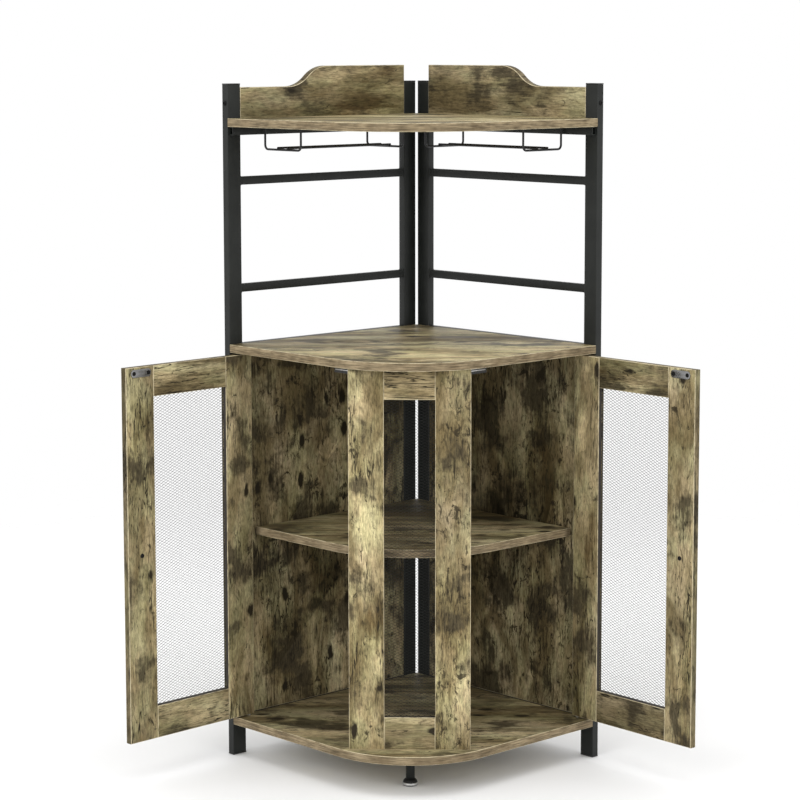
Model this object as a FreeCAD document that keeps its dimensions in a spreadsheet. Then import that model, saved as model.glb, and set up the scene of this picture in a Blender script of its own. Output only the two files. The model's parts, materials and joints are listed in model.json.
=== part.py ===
"""Corner bar cabinet: two welded side frames, four boards, a front panel and two swing doors.

Millimetres, +Z up, front towards -Y. The origin is on the floor, under the middle of the cabinet's box
with its doors swung open. Left-hand pieces are modelled, and the right-hand ones are their mirror images.
"""
import FreeCAD, Part
import os

import Sketcher
from FreeCAD import Placement, Rotation, Vector

# Driving dimensions: alias, millimetres (degrees for the angle), what it measures
DRIVING_SIZES = [
    ("wall_side", 482, "outer wall corner to the front faces of the front posts"),
    ("post_depth", 30, "post tube, along the wall"),
    ("post_thick", 15, "post tube, square to the wall"),
    ("tube_wall", 1.5, "wall of the post tubes and frame rails"),
    ("corner_gap", 2.5, "each back post from the inner corner"),
    ("plug_lip", 2, "plastic plug outside each end of a post"),
    ("plug_insert", 12, "plastic plug inside each end of a post"),
    ("rail_tall", 15, "height of every frame rail"),
    ("open_rail_thick", 10, "rails of the open bay, square to the wall"),
    ("lower_rail_rise", 93, "counter top to the underside of the lower open rail"),
    ("upper_rail_drop", 90, "top shelf's underside to the top of the upper open rail"),
    ("ledge_thick", 10, "ledge rail that carries the top shelf"),
    ("ledge_setback", 4, "ledge rail behind the front face of the post"),
    ("ledge_corner_gap", 2, "between the two ledge rails at the back corner"),
    ("board_thick", 15, "top shelf, counter, bottom board and inner shelf"),
    ("corner_radius", 180, "round front corner of the three large boards"),
    ("floor_gap", 58, "floor to the underside of the bottom board"),
    ("cabinet_height", 675, "clear height between bottom board and counter"),
    ("bay_height", 392, "clear height between counter and top shelf"),
    ("post_rise", 62, "top of the posts, with their end plugs, above the top shelf"),
    ("gallery_low", 55, "backboard above the top shelf, at the front posts"),
    ("gallery_high", 92, "backboard above the top shelf, at the back posts"),
    ("gallery_low_run", 115, "length of the low part of a backboard"),
    ("gallery_rise_run", 95, "length over which a backboard rises"),
    ("gallery_bolt_rise", 27, "backboard bolt above the top shelf"),
    ("gallery_bolt_seat", 25, "backboard bolt's length inside the board"),
    ("bolt_diameter", 5, "backboard bolt's shank"),
    ("bolt_head_diameter", 9, "backboard bolt's head"),
    ("bolt_head_thick", 2.5, "backboard bolt's head"),
    ("side_panel_thick", 9, "side panels of the lower cabinet"),
    ("inner_shelf_rise", 333, "clear height between bottom board and inner shelf"),
    ("inner_shelf_setback", 58, "inner shelf's front edges behind the posts' front faces"),
    ("inner_shelf_radius", 200, "round front corner of the inner shelf"),
    ("inner_shelf_clearance", 1, "inner shelf from the inner faces of the posts"),
    ("shelf_pin_diameter", 6, "pins under the inner shelf"),
    ("shelf_pin_seat", 6, "pin's length inside the side panel"),
    ("shelf_pin_reach", 10, "pin's length under the inner shelf"),
    ("shelf_pin_front", 70, "front pin behind the inner shelf's front edge"),
    ("shelf_pin_back", 90, "back pin from the inner corner"),
    ("panel_width", 213, "fixed front panel"),
    ("panel_setback", 47, "fixed front panel behind the boards' front apex"),
    ("door_panel_gap", 1.8, "closed door's free edge beside the back corner of the fixed panel"),
    ("door_face_gap", 2.7, "closed door's outer face behind the back corner of the fixed panel"),
    ("door_thick", 13, "doors and fixed front panel"),
    ("door_gap", 3, "door to counter, and door to bottom board"),
    ("door_open_angle", 88, "how far the doors stand open, in degrees"),
    ("stile_width", 62, "stiles of the doors and of the fixed front panel"),
    ("top_rail_tall", 55, "top rails of the doors and of the fixed front panel"),
    ("bottom_rail_tall", 58, "bottom rails of the doors and of the fixed front panel"),
    ("mesh_thick", 1.2, "expanded metal, and the groove that holds it"),
    ("mesh_setback", 4, "groove behind the outer face"),
    ("mesh_groove", 6, "depth of the groove"),
    ("mesh_cell_wide", 48, "width of one diamond of the expanded metal"),
    ("mesh_cell_tall", 40, "height of one diamond of the expanded metal"),
    ("mesh_blank_tall", 540, "expanded metal before it is stretched to its frame"),
    ("door_mesh_blank", 144, "expanded metal of a door before it is stretched"),
    ("panel_mesh_blank", 96, "expanded metal of the panel before it is stretched"),
    ("mesh_strand", 4, "width of a strand of the expanded metal"),
    ("pivot_edge", 7.5, "door pivot from the door's hinge edge"),
    ("swing_gap", 0.4, "door's hinge corner to the post as it swings past"),
    ("pin_diameter", 6, "door pivot pins"),
    ("pin_seat", 22, "pivot pin's length inside the hinge stile"),
    ("pin_clearance", 0.06, "pivot pin to its bore, on the radius"),
    ("pin_bore_depth", 9, "pivot pin's bore in its board"),
    ("knob_diameter", 24, "door knob"),
    ("knob_reach", 22, "door knob, out of the door's face"),
    ("knob_neck_diameter", 12, "neck of a door knob"),
    ("knob_rim_thick", 9, "disc of a door knob"),
    ("knob_screw_diameter", 4, "screw through the free stile into the knob"),
    ("knob_screw_bite", 10, "screw's length inside the knob"),
    ("knob_screw_head_diameter", 8, "head of the knob's screw"),
    ("knob_screw_head_thick", 2, "head of the knob's screw"),
    ("strike_length", 45, "steel plate that meets the magnet catch"),
    ("strike_tall", 14, "steel plate that meets the magnet catch"),
    ("strike_thick", 1.5, "steel plate that meets the magnet catch"),
    ("strike_side_margin", 11, "steel plate from the door's free edge"),
    ("strike_top_margin", 4, "steel plate below the door's top edge"),
    ("catch_depth", 16, "magnet catch, square to the closed door"),
    ("catch_tall", 16, "magnet catch, below the counter"),
    ("catch_gap", 0.6, "catch to steel plate with the door closed"),
    ("pole_plate_thick", 2, "steel plates at the face of a magnet catch"),
    ("rack_wire", 4, "wire of the glass racks"),
    ("rack_drop", 41.5, "rack's cross wires below the top shelf"),
    ("rack_length", 250, "front hanger to back hanger"),
    ("rack_width", 98, "leg to leg of a hanger"),
    ("rack_slot", 26, "long wire to long wire"),
    ("rack_setback", 75, "front hanger behind the posts' front faces"),
    ("rack_inset", 15, "wall-side legs from the inner faces of the posts"),
    ("rack_bend", 8, "bend radius of the hangers, at the wire's middle"),
    ("rack_weld_sink", 0.8, "long wires sunk into the hangers by the weld"),
    ("leg_setback", 80, "front leg behind the boards' front apex"),
    ("leg_diameter", 16, "front leg"),
    ("leg_flange_diameter", 44, "plate of the front leg under the bottom board"),
    ("leg_flange_thick", 3, "plate of the front leg under the bottom board"),
    ("foot_diameter", 28, "levelling foot"),
    ("foot_height", 12, "levelling foot below the leg"),
    ("foot_rim", 7, "rim of the levelling foot"),
    ("foot_shoulder_diameter", 21, "shoulder of the levelling foot over its rim"),
    ("foot_gap", 0.4, "levelling foot to the leg, screwed fully in"),
    ("stud_diameter", 8, "stud of the levelling foot"),
    ("stud_length", 32, "stud of the levelling foot inside the leg"),
    ("stud_clearance", 0.08, "stud to leg, on the radius"),
]

doc = FreeCAD.newDocument("corner_bar_cabinet")
sheet = doc.addObject("Spreadsheet::Sheet", "Sizes")
for row, (alias, number, meaning) in enumerate(DRIVING_SIZES, start=1):
    sheet.set(f"A{row}", meaning)
    sheet.set(f"B{row}", str(number))
    sheet.setAlias(f"B{row}", alias)
doc.recompute()

pieces = []

# Places worked out from the driving dimensions, as expressions
INNER_SIDE = "(Sizes.wall_side - Sizes.post_thick)"
BOTTOM_TOP = "(Sizes.floor_gap + Sizes.board_thick)"
COUNTER_UNDER = f"({BOTTOM_TOP} + Sizes.cabinet_height)"
COUNTER_TOP = f"({COUNTER_UNDER} + Sizes.board_thick)"
SHELF_UNDER = f"({COUNTER_TOP} + Sizes.bay_height)"
SHELF_TOP = f"({SHELF_UNDER} + Sizes.board_thick)"
POST_TOP = f"({SHELF_TOP} + Sizes.post_rise)"
APEX = f"({INNER_SIDE} * sqrt(2) - Sizes.corner_radius * (sqrt(2) - 1))"
BACK_REACH = "((Sizes.post_thick - Sizes.corner_gap) * sqrt(2) / 2)"
CORNER_Y = f"(({APEX} - {BACK_REACH}) / 2)"
BACK_POST_FRONT = "(Sizes.corner_gap + Sizes.post_depth)"
FRONT_POST_BACK = f"({INNER_SIDE} - Sizes.post_depth)"
RAIL_LENGTH = f"({FRONT_POST_BACK} - {BACK_POST_FRONT})"

DOOR_BOTTOM = f"({BOTTOM_TOP} + Sizes.door_gap)"
DOOR_TOP = f"({COUNTER_UNDER} - Sizes.door_gap)"
PANEL_FRONT = f"({APEX} - Sizes.panel_setback)"
PANEL_BACK = f"({PANEL_FRONT} - Sizes.door_thick)"
PANEL_CORNER_ALONG = f"(({PANEL_BACK} + Sizes.panel_width / 2) * sqrt(2) / 2)"
PANEL_CORNER_INWARD = f"(({PANEL_BACK} - Sizes.panel_width / 2) * sqrt(2) / 2)"
PIVOT_INWARD = "(sqrt(Sizes.pivot_edge ^ 2 + (Sizes.door_thick / 2) ^ 2) + Sizes.swing_gap)"
PIVOT_ALONG = f"({PANEL_CORNER_ALONG} - Sizes.door_face_gap - Sizes.door_thick / 2)"
DOOR_INNER_ALONG = f"({PIVOT_ALONG} - Sizes.door_thick / 2)"
DOOR_HINGE_EDGE = "(-Sizes.pivot_edge)"
DOOR_FREE_EDGE = f"({PANEL_CORNER_INWARD} - Sizes.door_panel_gap - {PIVOT_INWARD})"
DOOR_OPENING_LEFT = "(Sizes.stile_width - Sizes.pivot_edge)"
DOOR_OPENING_RIGHT = f"({DOOR_FREE_EDGE} - Sizes.stile_width)"
DOOR_OUTER_FACE = "(-Sizes.door_thick / 2)"
DOOR_INNER_FACE = "(Sizes.door_thick / 2)"
PIVOT_X = f"(({PIVOT_INWARD} - {PIVOT_ALONG}) * sqrt(2) / 2)"
PIVOT_Y = f"({CORNER_Y} - ({PIVOT_ALONG} + {PIVOT_INWARD}) * sqrt(2) / 2)"

# Three upright frames: origin x, origin y and turn about the vertical.
# WALL has x along the left wall from the inner corner and y away from that wall.
# FRONT has x to the right and y to the back. DOOR has x from the left door's pivot to its free edge.
WALL = ("0", CORNER_Y, "225 deg")
FRONT = ("0", CORNER_Y, "0 deg")
DOOR = (PIVOT_X, PIVOT_Y, "(315 - Sizes.door_open_angle) * 1 deg")


def number(expression):
    """Value of an expression, in millimetres or degrees."""
    result = sheet.evalExpression(expression)
    return float(getattr(result, "Value", result))


def place(item, frame, x, y, z):
    """Sets an object at x, y, z of an upright frame, bound to the sheet."""
    origin_x, origin_y, turn = frame
    item.Placement = Placement(Vector(), Rotation(Vector(0, 0, 1), number(turn)))
    item.setExpression("Placement.Rotation.Angle", turn)
    item.setExpression("Placement.Base.x", f"{origin_x} + ({x}) * cos({turn}) - ({y}) * sin({turn})")
    item.setExpression("Placement.Base.y", f"{origin_y} + ({x}) * sin({turn}) + ({y}) * cos({turn})")
    item.setExpression("Placement.Base.z", z)


def keep(item, name):
    """Names a finished sub-part, so that it is checked and written."""
    item.Label = name
    pieces.append(item)
    return item


def mirrored(item, name):
    """The right-hand twin of a left-hand object."""
    twin = doc.addObject("Part::Mirroring", name)
    twin.Source = item
    twin.Normal = Vector(1, 0, 0)
    return twin


def keep_pair(item, name):
    """Keeps left_NAME and its mirror image right_NAME."""
    keep(item, f"left_{name}")
    keep(mirrored(item, f"right_{name}"), f"right_{name}")


def keep_group(items, name):
    """Keeps several separate solids as one sub-part."""
    group = doc.addObject("Part::Compound", name)
    group.Links = items
    keep(group, name)


def new_sketch(body, role, name, lift="0"):
    """A sketch on one of the body's own planes, lifted along that plane's normal."""
    sketch = body.newObject("Sketcher::SketchObject", name)
    planes = [item for item in body.Origin.OriginFeatures if item.Role == role]
    sketch.AttachmentSupport = [(planes[0], "")]
    sketch.MapMode = "FlatFace"
    sketch.setExpression("AttachmentOffset.Base.z", lift)
    return sketch


def dimension(sketch, kind, *references, size):
    """Adds a dimension to a sketch and binds it to an expression."""
    index = sketch.addConstraint(Sketcher.Constraint(kind, *references, number(size)))
    sketch.setExpression(f"Constraints[{index}]", size)


def pin_point(sketch, curve, point, x, y):
    """Fixes one point of a curve at x, y of its sketch."""
    for kind, axis, size in (("DistanceX", -2, x), ("DistanceY", -1, y)):
        if size == "0":
            sketch.addConstraint(Sketcher.Constraint("PointOnObject", curve, point, axis))
        else:
            dimension(sketch, kind, -1, 1, curve, point, size=size)


def polygon(sketch, corners):
    """A closed outline of straight lines through corners given as expressions."""
    spots = [Vector(number(x), number(y), 0) for x, y in corners]
    first = sketch.GeometryCount
    count = len(spots)
    for step in range(count):
        sketch.addGeometry(Part.LineSegment(spots[step], spots[(step + 1) % count]), False)
    for step, (x, y) in enumerate(corners):
        following = first + (step + 1) % count
        sketch.addConstraint(Sketcher.Constraint("Coincident", first + step, 2, following, 1))
        pin_point(sketch, first + step, 1, x, y)


def rectangle(sketch, low_x, low_y, high_x, high_y):
    """A rectangle between two corners given as expressions."""
    polygon(sketch, [(low_x, low_y), (high_x, low_y), (high_x, high_y), (low_x, high_y)])


def circle(sketch, x, y, diameter):
    """A circle with its centre at x, y of the sketch."""
    middle = Vector(number(x), number(y), 0)
    index = sketch.addGeometry(Part.Circle(middle, Vector(0, 0, 1), number(diameter) / 2), False)
    pin_point(sketch, index, 3, x, y)
    dimension(sketch, "Diameter", index, size=diameter)


def octagon(sketch, x, y, across):
    """An eight-sided section with its middle at x, y of the sketch."""
    corners = []
    for turn in range(0, 360, 45):
        corners.append((f"{x} + {across} / 2 * cos({turn} deg)", f"{y} + {across} / 2 * sin({turn} deg)"))
    polygon(sketch, corners)


def pad(body, sketch, length, name):
    """Extrudes a sketch along its normal."""
    feature = body.newObject("PartDesign::Pad", name)
    feature.Profile = sketch
    feature.setExpression("Length", length)
    doc.recompute()
    return feature


def pocket(body, sketch, depth, name, along_normal=False):
    """Cuts a sketch into the body, against its normal or along it, and checks that it cuts."""
    before = body.Shape.Volume
    feature = body.newObject("PartDesign::Pocket", name)
    feature.Profile = sketch
    feature.Reversed = along_normal
    feature.setExpression("Length", depth)
    doc.recompute()
    if not body.Shape.Volume < before:
        raise RuntimeError(f"{name} cuts nothing")
    return feature


def revolve(body, sketch, axis, name):
    """Turns a half outline round an axis of its sketch."""
    feature = body.newObject("PartDesign::Revolution", name)
    feature.Profile = sketch
    feature.ReferenceAxis = (sketch, [axis])
    feature.Angle = 360
    doc.recompute()
    return feature


def plain_box(name, frame, corner, lengths):
    """A box whose low corner and lengths are expressions in a frame."""
    item = doc.addObject("Part::Box", name)
    for side, size in zip(("Length", "Width", "Height"), lengths):
        item.setExpression(side, size)
    place(item, frame, *corner)
    return item


def plain_cylinder(name, frame, base, diameter, height):
    """An upright cylinder that stands on a point of a frame."""
    item = doc.addObject("Part::Cylinder", name)
    item.setExpression("Radius", f"{diameter} / 2")
    item.setExpression("Height", height)
    place(item, frame, *base)
    return item


# Side frames


def post(name, along):
    """An upright rectangular tube, closed by a plastic plug at each end."""
    body = doc.addObject("PartDesign::Body", name)
    section = new_sketch(body, "XY_Plane", f"{name}_section")
    wall = "Sizes.tube_wall"
    rectangle(section, "0", "0", "Sizes.post_depth", "Sizes.post_thick")
    rectangle(section, wall, wall, f"Sizes.post_depth - {wall}", f"Sizes.post_thick - {wall}")
    pad(body, section, f"{POST_TOP} - 2 * Sizes.plug_lip", f"{name}_tube")
    place(body, WALL, along, "-Sizes.post_thick", "Sizes.plug_lip")
    return body


def wall_rail(name, start, inward, thick, height, length):
    """A level rectangular tube along the left wall, from the back to the front."""
    body = doc.addObject("PartDesign::Body", name)
    section = new_sketch(body, "YZ_Plane", f"{name}_section")
    wall = "Sizes.tube_wall"
    rectangle(section, "0", "0", thick, "Sizes.rail_tall")
    rectangle(section, wall, wall, f"{thick} - {wall}", f"Sizes.rail_tall - {wall}")
    pad(body, section, length, f"{name}_tube")
    place(body, WALL, start, inward, height)
    return body


def post_plug(name, along, at_top):
    """A moulded plug: a lip as wide as the post and an insert that fills its bore."""
    wall = "Sizes.tube_wall"
    lip_height = f"{POST_TOP} - Sizes.plug_lip" if at_top else "0"
    insert_height = f"{POST_TOP} - Sizes.plug_lip - Sizes.plug_insert" if at_top else "Sizes.plug_lip"
    lip = plain_box(
        f"{name}_lip",
        WALL,
        (along, "-Sizes.post_thick", lip_height),
        ("Sizes.post_depth", "Sizes.post_thick", "Sizes.plug_lip"),
    )
    insert = plain_box(
        f"{name}_insert",
        WALL,
        (f"{along} + {wall}", f"-Sizes.post_thick + {wall}", insert_height),
        (f"Sizes.post_depth - 2 * {wall}", f"Sizes.post_thick - 2 * {wall}", "Sizes.plug_insert"),
    )
    plug = doc.addObject("Part::Fuse", name)
    plug.Base = lip
    plug.Tool = insert
    return plug


front_post = post("left_front_post", FRONT_POST_BACK)
bolt_height = f"{SHELF_TOP} + Sizes.gallery_bolt_rise"
bolt_hole = new_sketch(front_post, "YZ_Plane", "front_post_bolt_hole")
circle(bolt_hole, "Sizes.post_thick / 2", f"{bolt_height} - Sizes.plug_lip", "Sizes.bolt_diameter")
pocket(front_post, bolt_hole, "Sizes.post_depth", "front_post_bolt_pocket", along_normal=True)
keep_pair(front_post, "front_post")
keep_pair(post("left_back_post", "Sizes.corner_gap"), "back_post")

open_inward = "-(Sizes.post_thick + Sizes.open_rail_thick) / 2"
lower_rail_height = f"{COUNTER_TOP} + Sizes.lower_rail_rise"
upper_rail_height = f"{SHELF_UNDER} - Sizes.upper_rail_drop - Sizes.rail_tall"
flush_inward = "-Sizes.post_thick"
for rail_name, inward, thick, height in (
    ("upper_rail", open_inward, "Sizes.open_rail_thick", upper_rail_height),
    ("lower_rail", open_inward, "Sizes.open_rail_thick", lower_rail_height),
    ("counter_rail", flush_inward, "Sizes.post_thick", f"{COUNTER_TOP} - Sizes.rail_tall"),
    ("bottom_rail", flush_inward, "Sizes.post_thick", f"{BOTTOM_TOP} - Sizes.rail_tall"),
):
    rail = wall_rail(f"left_{rail_name}", BACK_POST_FRONT, inward, thick, height, RAIL_LENGTH)
    keep_pair(rail, rail_name)

ledge_start = "(Sizes.ledge_thick + Sizes.ledge_corner_gap)"
ledge_length = f"{INNER_SIDE} - Sizes.ledge_setback - {ledge_start}"
ledge_height = f"{SHELF_UNDER} - Sizes.rail_tall"
ledge = wall_rail("left_shelf_ledge", ledge_start, "0", "Sizes.ledge_thick", ledge_height, ledge_length)
keep_pair(ledge, "shelf_ledge")

for group_name, at_top in (("post_caps", True), ("post_feet", False)):
    plugs = []
    for where, along in (("front", FRONT_POST_BACK), ("back", "Sizes.corner_gap")):
        plug = post_plug(f"left_{where}_{group_name}", along, at_top)
        plugs += [plug, mirrored(plug, f"right_{where}_{group_name}")]
    keep_group(plugs, group_name)

# Side panels and backboards, which fill the frames between the posts

panel_height = f"{COUNTER_TOP} - Sizes.rail_tall - {BOTTOM_TOP}"
side_panel_inward = "-(Sizes.post_thick + Sizes.side_panel_thick) / 2"
side_panel = doc.addObject("PartDesign::Body", "left_side_panel")
panel_outline = new_sketch(side_panel, "XZ_Plane", "side_panel_outline")
rectangle(panel_outline, "0", "0", RAIL_LENGTH, panel_height)
panel_pad = pad(side_panel, panel_outline, "Sizes.side_panel_thick", "side_panel_pad")
panel_pad.Reversed = True
pin_centres = [
    f"Sizes.shelf_pin_back - {BACK_POST_FRONT}",
    f"{INNER_SIDE} - Sizes.inner_shelf_setback - Sizes.shelf_pin_front - {BACK_POST_FRONT}",
]
INNER_SHELF_UNDER = f"({BOTTOM_TOP} + Sizes.inner_shelf_rise)"
PIN_HEIGHT = f"({INNER_SHELF_UNDER} - Sizes.shelf_pin_diameter / 2)"
pin_holes = new_sketch(side_panel, "XZ_Plane", "side_panel_pin_holes", "-Sizes.side_panel_thick")
for centre in pin_centres:
    circle(pin_holes, centre, f"{PIN_HEIGHT} - {BOTTOM_TOP}", "Sizes.shelf_pin_diameter")
pocket(side_panel, pin_holes, "Sizes.shelf_pin_seat", "side_panel_pin_pocket", along_normal=True)
place(side_panel, WALL, BACK_POST_FRONT, side_panel_inward, BOTTOM_TOP)
keep_pair(side_panel, "side_panel")


def gallery_outline(sketch):
    """The backboard's outline: low at the front, high at the back, joined by an S of two equal arcs."""
    low = "Sizes.board_thick + Sizes.gallery_low"
    high = "Sizes.board_thick + Sizes.gallery_high"
    rise_front = f"{RAIL_LENGTH} - Sizes.gallery_low_run"
    rise_back = f"{rise_front} - Sizes.gallery_rise_run"
    step = number("Sizes.gallery_high - Sizes.gallery_low")
    run = number("Sizes.gallery_rise_run")
    radius = (step * step + run * run) / (4 * step)
    length = number(RAIL_LENGTH)
    front_bend = Vector(number(rise_front), number(low), 0)
    back_bend = Vector(number(rise_back), number(high), 0)
    middle = (front_bend + back_bend) / 2
    half_turn = Vector(0, radius, 0)
    front_centre = front_bend + half_turn
    back_centre = back_bend - half_turn
    corners = [Vector(0, back_bend.y, 0), Vector(), Vector(length, 0, 0), Vector(length, front_bend.y, 0)]
    for start, end in zip(corners + [back_bend], corners[1:] + [front_bend, corners[0]]):
        sketch.addGeometry(Part.LineSegment(start, end), False)
    for centre, bend in ((front_centre, front_bend), (back_centre, back_bend)):
        ring = Part.Circle(centre, Vector(0, 0, 1), radius)
        arc = Part.ArcOfCircle(ring, ring.parameter(middle), ring.parameter(bend))
        sketch.addGeometry(arc, False)
    back_end, base, front_end, low_edge, high_edge, front_arc, back_arc = range(7)
    for one, other in ((back_end, base), (base, front_end), (front_end, low_edge), (high_edge, back_end)):
        sketch.addConstraint(Sketcher.Constraint("Coincident", one, 2, other, 1))
    sketch.addConstraint(Sketcher.Constraint("Tangent", low_edge, 2, front_arc, 2))
    sketch.addConstraint(Sketcher.Constraint("Tangent", front_arc, 1, back_arc, 1))
    sketch.addConstraint(Sketcher.Constraint("Tangent", back_arc, 2, high_edge, 1))
    sketch.addConstraint(Sketcher.Constraint("Equal", front_arc, back_arc))
    sketch.addConstraint(Sketcher.Constraint("Horizontal", low_edge))
    sketch.addConstraint(Sketcher.Constraint("Horizontal", high_edge))
    pin_point(sketch, base, 1, "0", "0")
    pin_point(sketch, base, 2, RAIL_LENGTH, "0")
    pin_point(sketch, front_end, 2, RAIL_LENGTH, low)
    pin_point(sketch, back_end, 1, "0", high)
    dimension(sketch, "DistanceX", -1, 1, low_edge, 2, size=rise_front)
    dimension(sketch, "DistanceX", -1, 1, high_edge, 1, size=rise_back)


backboard = doc.addObject("PartDesign::Body", "left_backboard")
backboard_outline = new_sketch(backboard, "XZ_Plane", "backboard_outline")
gallery_outline(backboard_outline)
pad(backboard, backboard_outline, "Sizes.post_thick", "backboard_pad").Reversed = True
backboard_hole = new_sketch(backboard, "YZ_Plane", "backboard_bolt_hole", RAIL_LENGTH)
bolt_in_board = "Sizes.board_thick + Sizes.gallery_bolt_rise"
circle(backboard_hole, "Sizes.post_thick / 2", bolt_in_board, "Sizes.bolt_diameter")
doc.recompute()
pocket(backboard, backboard_hole, "Sizes.gallery_bolt_seat", "backboard_bolt_pocket")
place(backboard, WALL, BACK_POST_FRONT, "-Sizes.post_thick", SHELF_UNDER)
keep_pair(backboard, "backboard")

bolt = doc.addObject("PartDesign::Body", "left_backboard_bolt")
bolt_shank = new_sketch(bolt, "YZ_Plane", "bolt_shank")
circle(bolt_shank, "0", "0", "Sizes.bolt_diameter")
pad(bolt, bolt_shank, "Sizes.post_depth + Sizes.gallery_bolt_seat", "bolt_shank_pad").Reversed = True
bolt_head = new_sketch(bolt, "YZ_Plane", "bolt_head")
octagon(bolt_head, "0", "0", "Sizes.bolt_head_diameter")
pad(bolt, bolt_head, "Sizes.bolt_head_thick", "bolt_head_pad")
place(bolt, WALL, INNER_SIDE, "-Sizes.post_thick / 2", bolt_height)
keep_group([bolt, mirrored(bolt, "right_backboard_bolt")], "backboard_bolts")

# Boards


def corner_board(name, low, side, radius, height):
    """A square board with its back corner near the walls' corner and its front corner rounded."""
    body = doc.addObject("PartDesign::Body", name)
    sketch = new_sketch(body, "XY_Plane", f"{name}_outline")
    near = number(low)
    far = number(side)
    bend = far - number(radius)
    spots = [Vector(near, far, 0), Vector(near, near, 0), Vector(far, near, 0), Vector(far, bend, 0)]
    for start, end in zip(spots, spots[1:]):
        sketch.addGeometry(Part.LineSegment(start, end), False)
    sketch.addGeometry(Part.LineSegment(Vector(bend, far, 0), spots[0]), False)
    ring = Part.Circle(Vector(bend, bend, 0), Vector(0, 0, 1), far - bend)
    round_corner = Part.ArcOfCircle(ring, ring.parameter(spots[3]), ring.parameter(Vector(bend, far, 0)))
    sketch.addGeometry(round_corner, False)
    left_wall, right_wall, right_front, left_front, arc = range(5)
    for one, other in ((left_wall, right_wall), (right_wall, right_front), (left_front, left_wall)):
        sketch.addConstraint(Sketcher.Constraint("Coincident", one, 2, other, 1))
    sketch.addConstraint(Sketcher.Constraint("Tangent", right_front, 2, arc, 1))
    sketch.addConstraint(Sketcher.Constraint("Tangent", arc, 2, left_front, 1))
    sketch.addConstraint(Sketcher.Constraint("Vertical", right_front))
    sketch.addConstraint(Sketcher.Constraint("Horizontal", left_front))
    pin_point(sketch, left_wall, 1, low, side)
    pin_point(sketch, right_wall, 1, low, low)
    pin_point(sketch, right_front, 1, side, low)
    dimension(sketch, "Radius", arc, size=radius)
    pad(body, sketch, "Sizes.board_thick", f"{name}_pad")
    place(body, WALL, "0", "0", height)
    return body


def pivot_bores(body, name, lift, along_normal):
    """Blind bores for the pins of both doors, mirror images across the board's diagonal."""
    sketch = new_sketch(body, "XY_Plane", name, lift)
    for x, y in ((PIVOT_ALONG, PIVOT_INWARD), (PIVOT_INWARD, PIVOT_ALONG)):
        circle(sketch, x, y, "Sizes.pin_diameter + 2 * Sizes.pin_clearance")
    pocket(body, sketch, "Sizes.pin_bore_depth", f"{name}_pocket", along_normal)


top_shelf = corner_board("top_shelf", "0", INNER_SIDE, "Sizes.corner_radius", SHELF_UNDER)
keep(top_shelf, "top_shelf")

counter = corner_board("counter_top", "0", INNER_SIDE, "Sizes.corner_radius", COUNTER_UNDER)
pivot_bores(counter, "counter_pivot_bores", "0", along_normal=True)
keep(counter, "counter_top")

bottom_board = corner_board("bottom_board", "0", INNER_SIDE, "Sizes.corner_radius", "Sizes.floor_gap")
pivot_bores(bottom_board, "bottom_pivot_bores", "Sizes.board_thick", along_normal=False)
keep(bottom_board, "bottom_board")

inner_shelf_side = f"{INNER_SIDE} - Sizes.inner_shelf_setback"
inner_shelf = corner_board(
    "inner_shelf", "Sizes.inner_shelf_clearance", inner_shelf_side, "Sizes.inner_shelf_radius", INNER_SHELF_UNDER
)
keep(inner_shelf, "inner_shelf")

shelf_pins = []
PANEL_INNER_FACE = "(-(Sizes.post_thick - Sizes.side_panel_thick) / 2)"
pin_length = f"Sizes.shelf_pin_seat - {PANEL_INNER_FACE} + Sizes.inner_shelf_clearance + Sizes.shelf_pin_reach"
for where, centre in zip(("back", "front"), pin_centres):
    pin = doc.addObject("PartDesign::Body", f"left_{where}_shelf_pin")
    pin_section = new_sketch(pin, "XZ_Plane", f"{where}_shelf_pin_section")
    circle(pin_section, "0", "0", "Sizes.shelf_pin_diameter")
    pad(pin, pin_section, pin_length, f"{where}_shelf_pin_pad").Reversed = True
    pin_along = f"{centre} + {BACK_POST_FRONT}"
    place(pin, WALL, pin_along, f"{PANEL_INNER_FACE} - Sizes.shelf_pin_seat", PIN_HEIGHT)
    shelf_pins += [pin, mirrored(pin, f"right_{where}_shelf_pin")]
keep_group(shelf_pins, "shelf_pins")

# Framed panels with expanded metal: the fixed front panel and the doors


def grooved_stile(name, frame, edge, outer_face, opening_side, low, high):
    """An upright bar with a groove for the mesh along its side towards the opening (+1 or -1 in x)."""
    body = doc.addObject("PartDesign::Body", name)
    sketch = new_sketch(body, "XY_Plane", f"{name}_section")
    wide = "Sizes.stile_width"
    near = "Sizes.mesh_setback"
    far = "Sizes.mesh_setback + Sizes.mesh_thick"
    face, back = (wide, "0") if opening_side > 0 else ("0", wide)
    floor = f"{wide} - Sizes.mesh_groove" if opening_side > 0 else "Sizes.mesh_groove"
    thick = "Sizes.door_thick"
    outline = [(back, "0"), (face, "0"), (face, near), (floor, near), (floor, far), (face, far), (face, thick)]
    polygon(sketch, outline + [(back, thick)])
    pad(body, sketch, f"{high} - {low}", f"{name}_bar")
    place(body, frame, edge, outer_face, low)
    return body


def grooved_rail(name, frame, start, outer_face, opening_side, low, tall, length):
    """A level bar with a groove for the mesh along its side towards the opening (+1 or -1 in z)."""
    body = doc.addObject("PartDesign::Body", name)
    sketch = new_sketch(body, "YZ_Plane", f"{name}_section")
    near = "Sizes.mesh_setback"
    far = "Sizes.mesh_setback + Sizes.mesh_thick"
    face, back = (tall, "0") if opening_side > 0 else ("0", tall)
    floor = f"{tall} - Sizes.mesh_groove" if opening_side > 0 else "Sizes.mesh_groove"
    thick = "Sizes.door_thick"
    outline = [("0", back), ("0", face), (near, face), (near, floor), (far, floor), (far, face), (thick, face)]
    polygon(sketch, outline + [(thick, back)])
    pad(body, sketch, length, f"{name}_bar")
    place(body, frame, start, outer_face, low)
    return body


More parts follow.
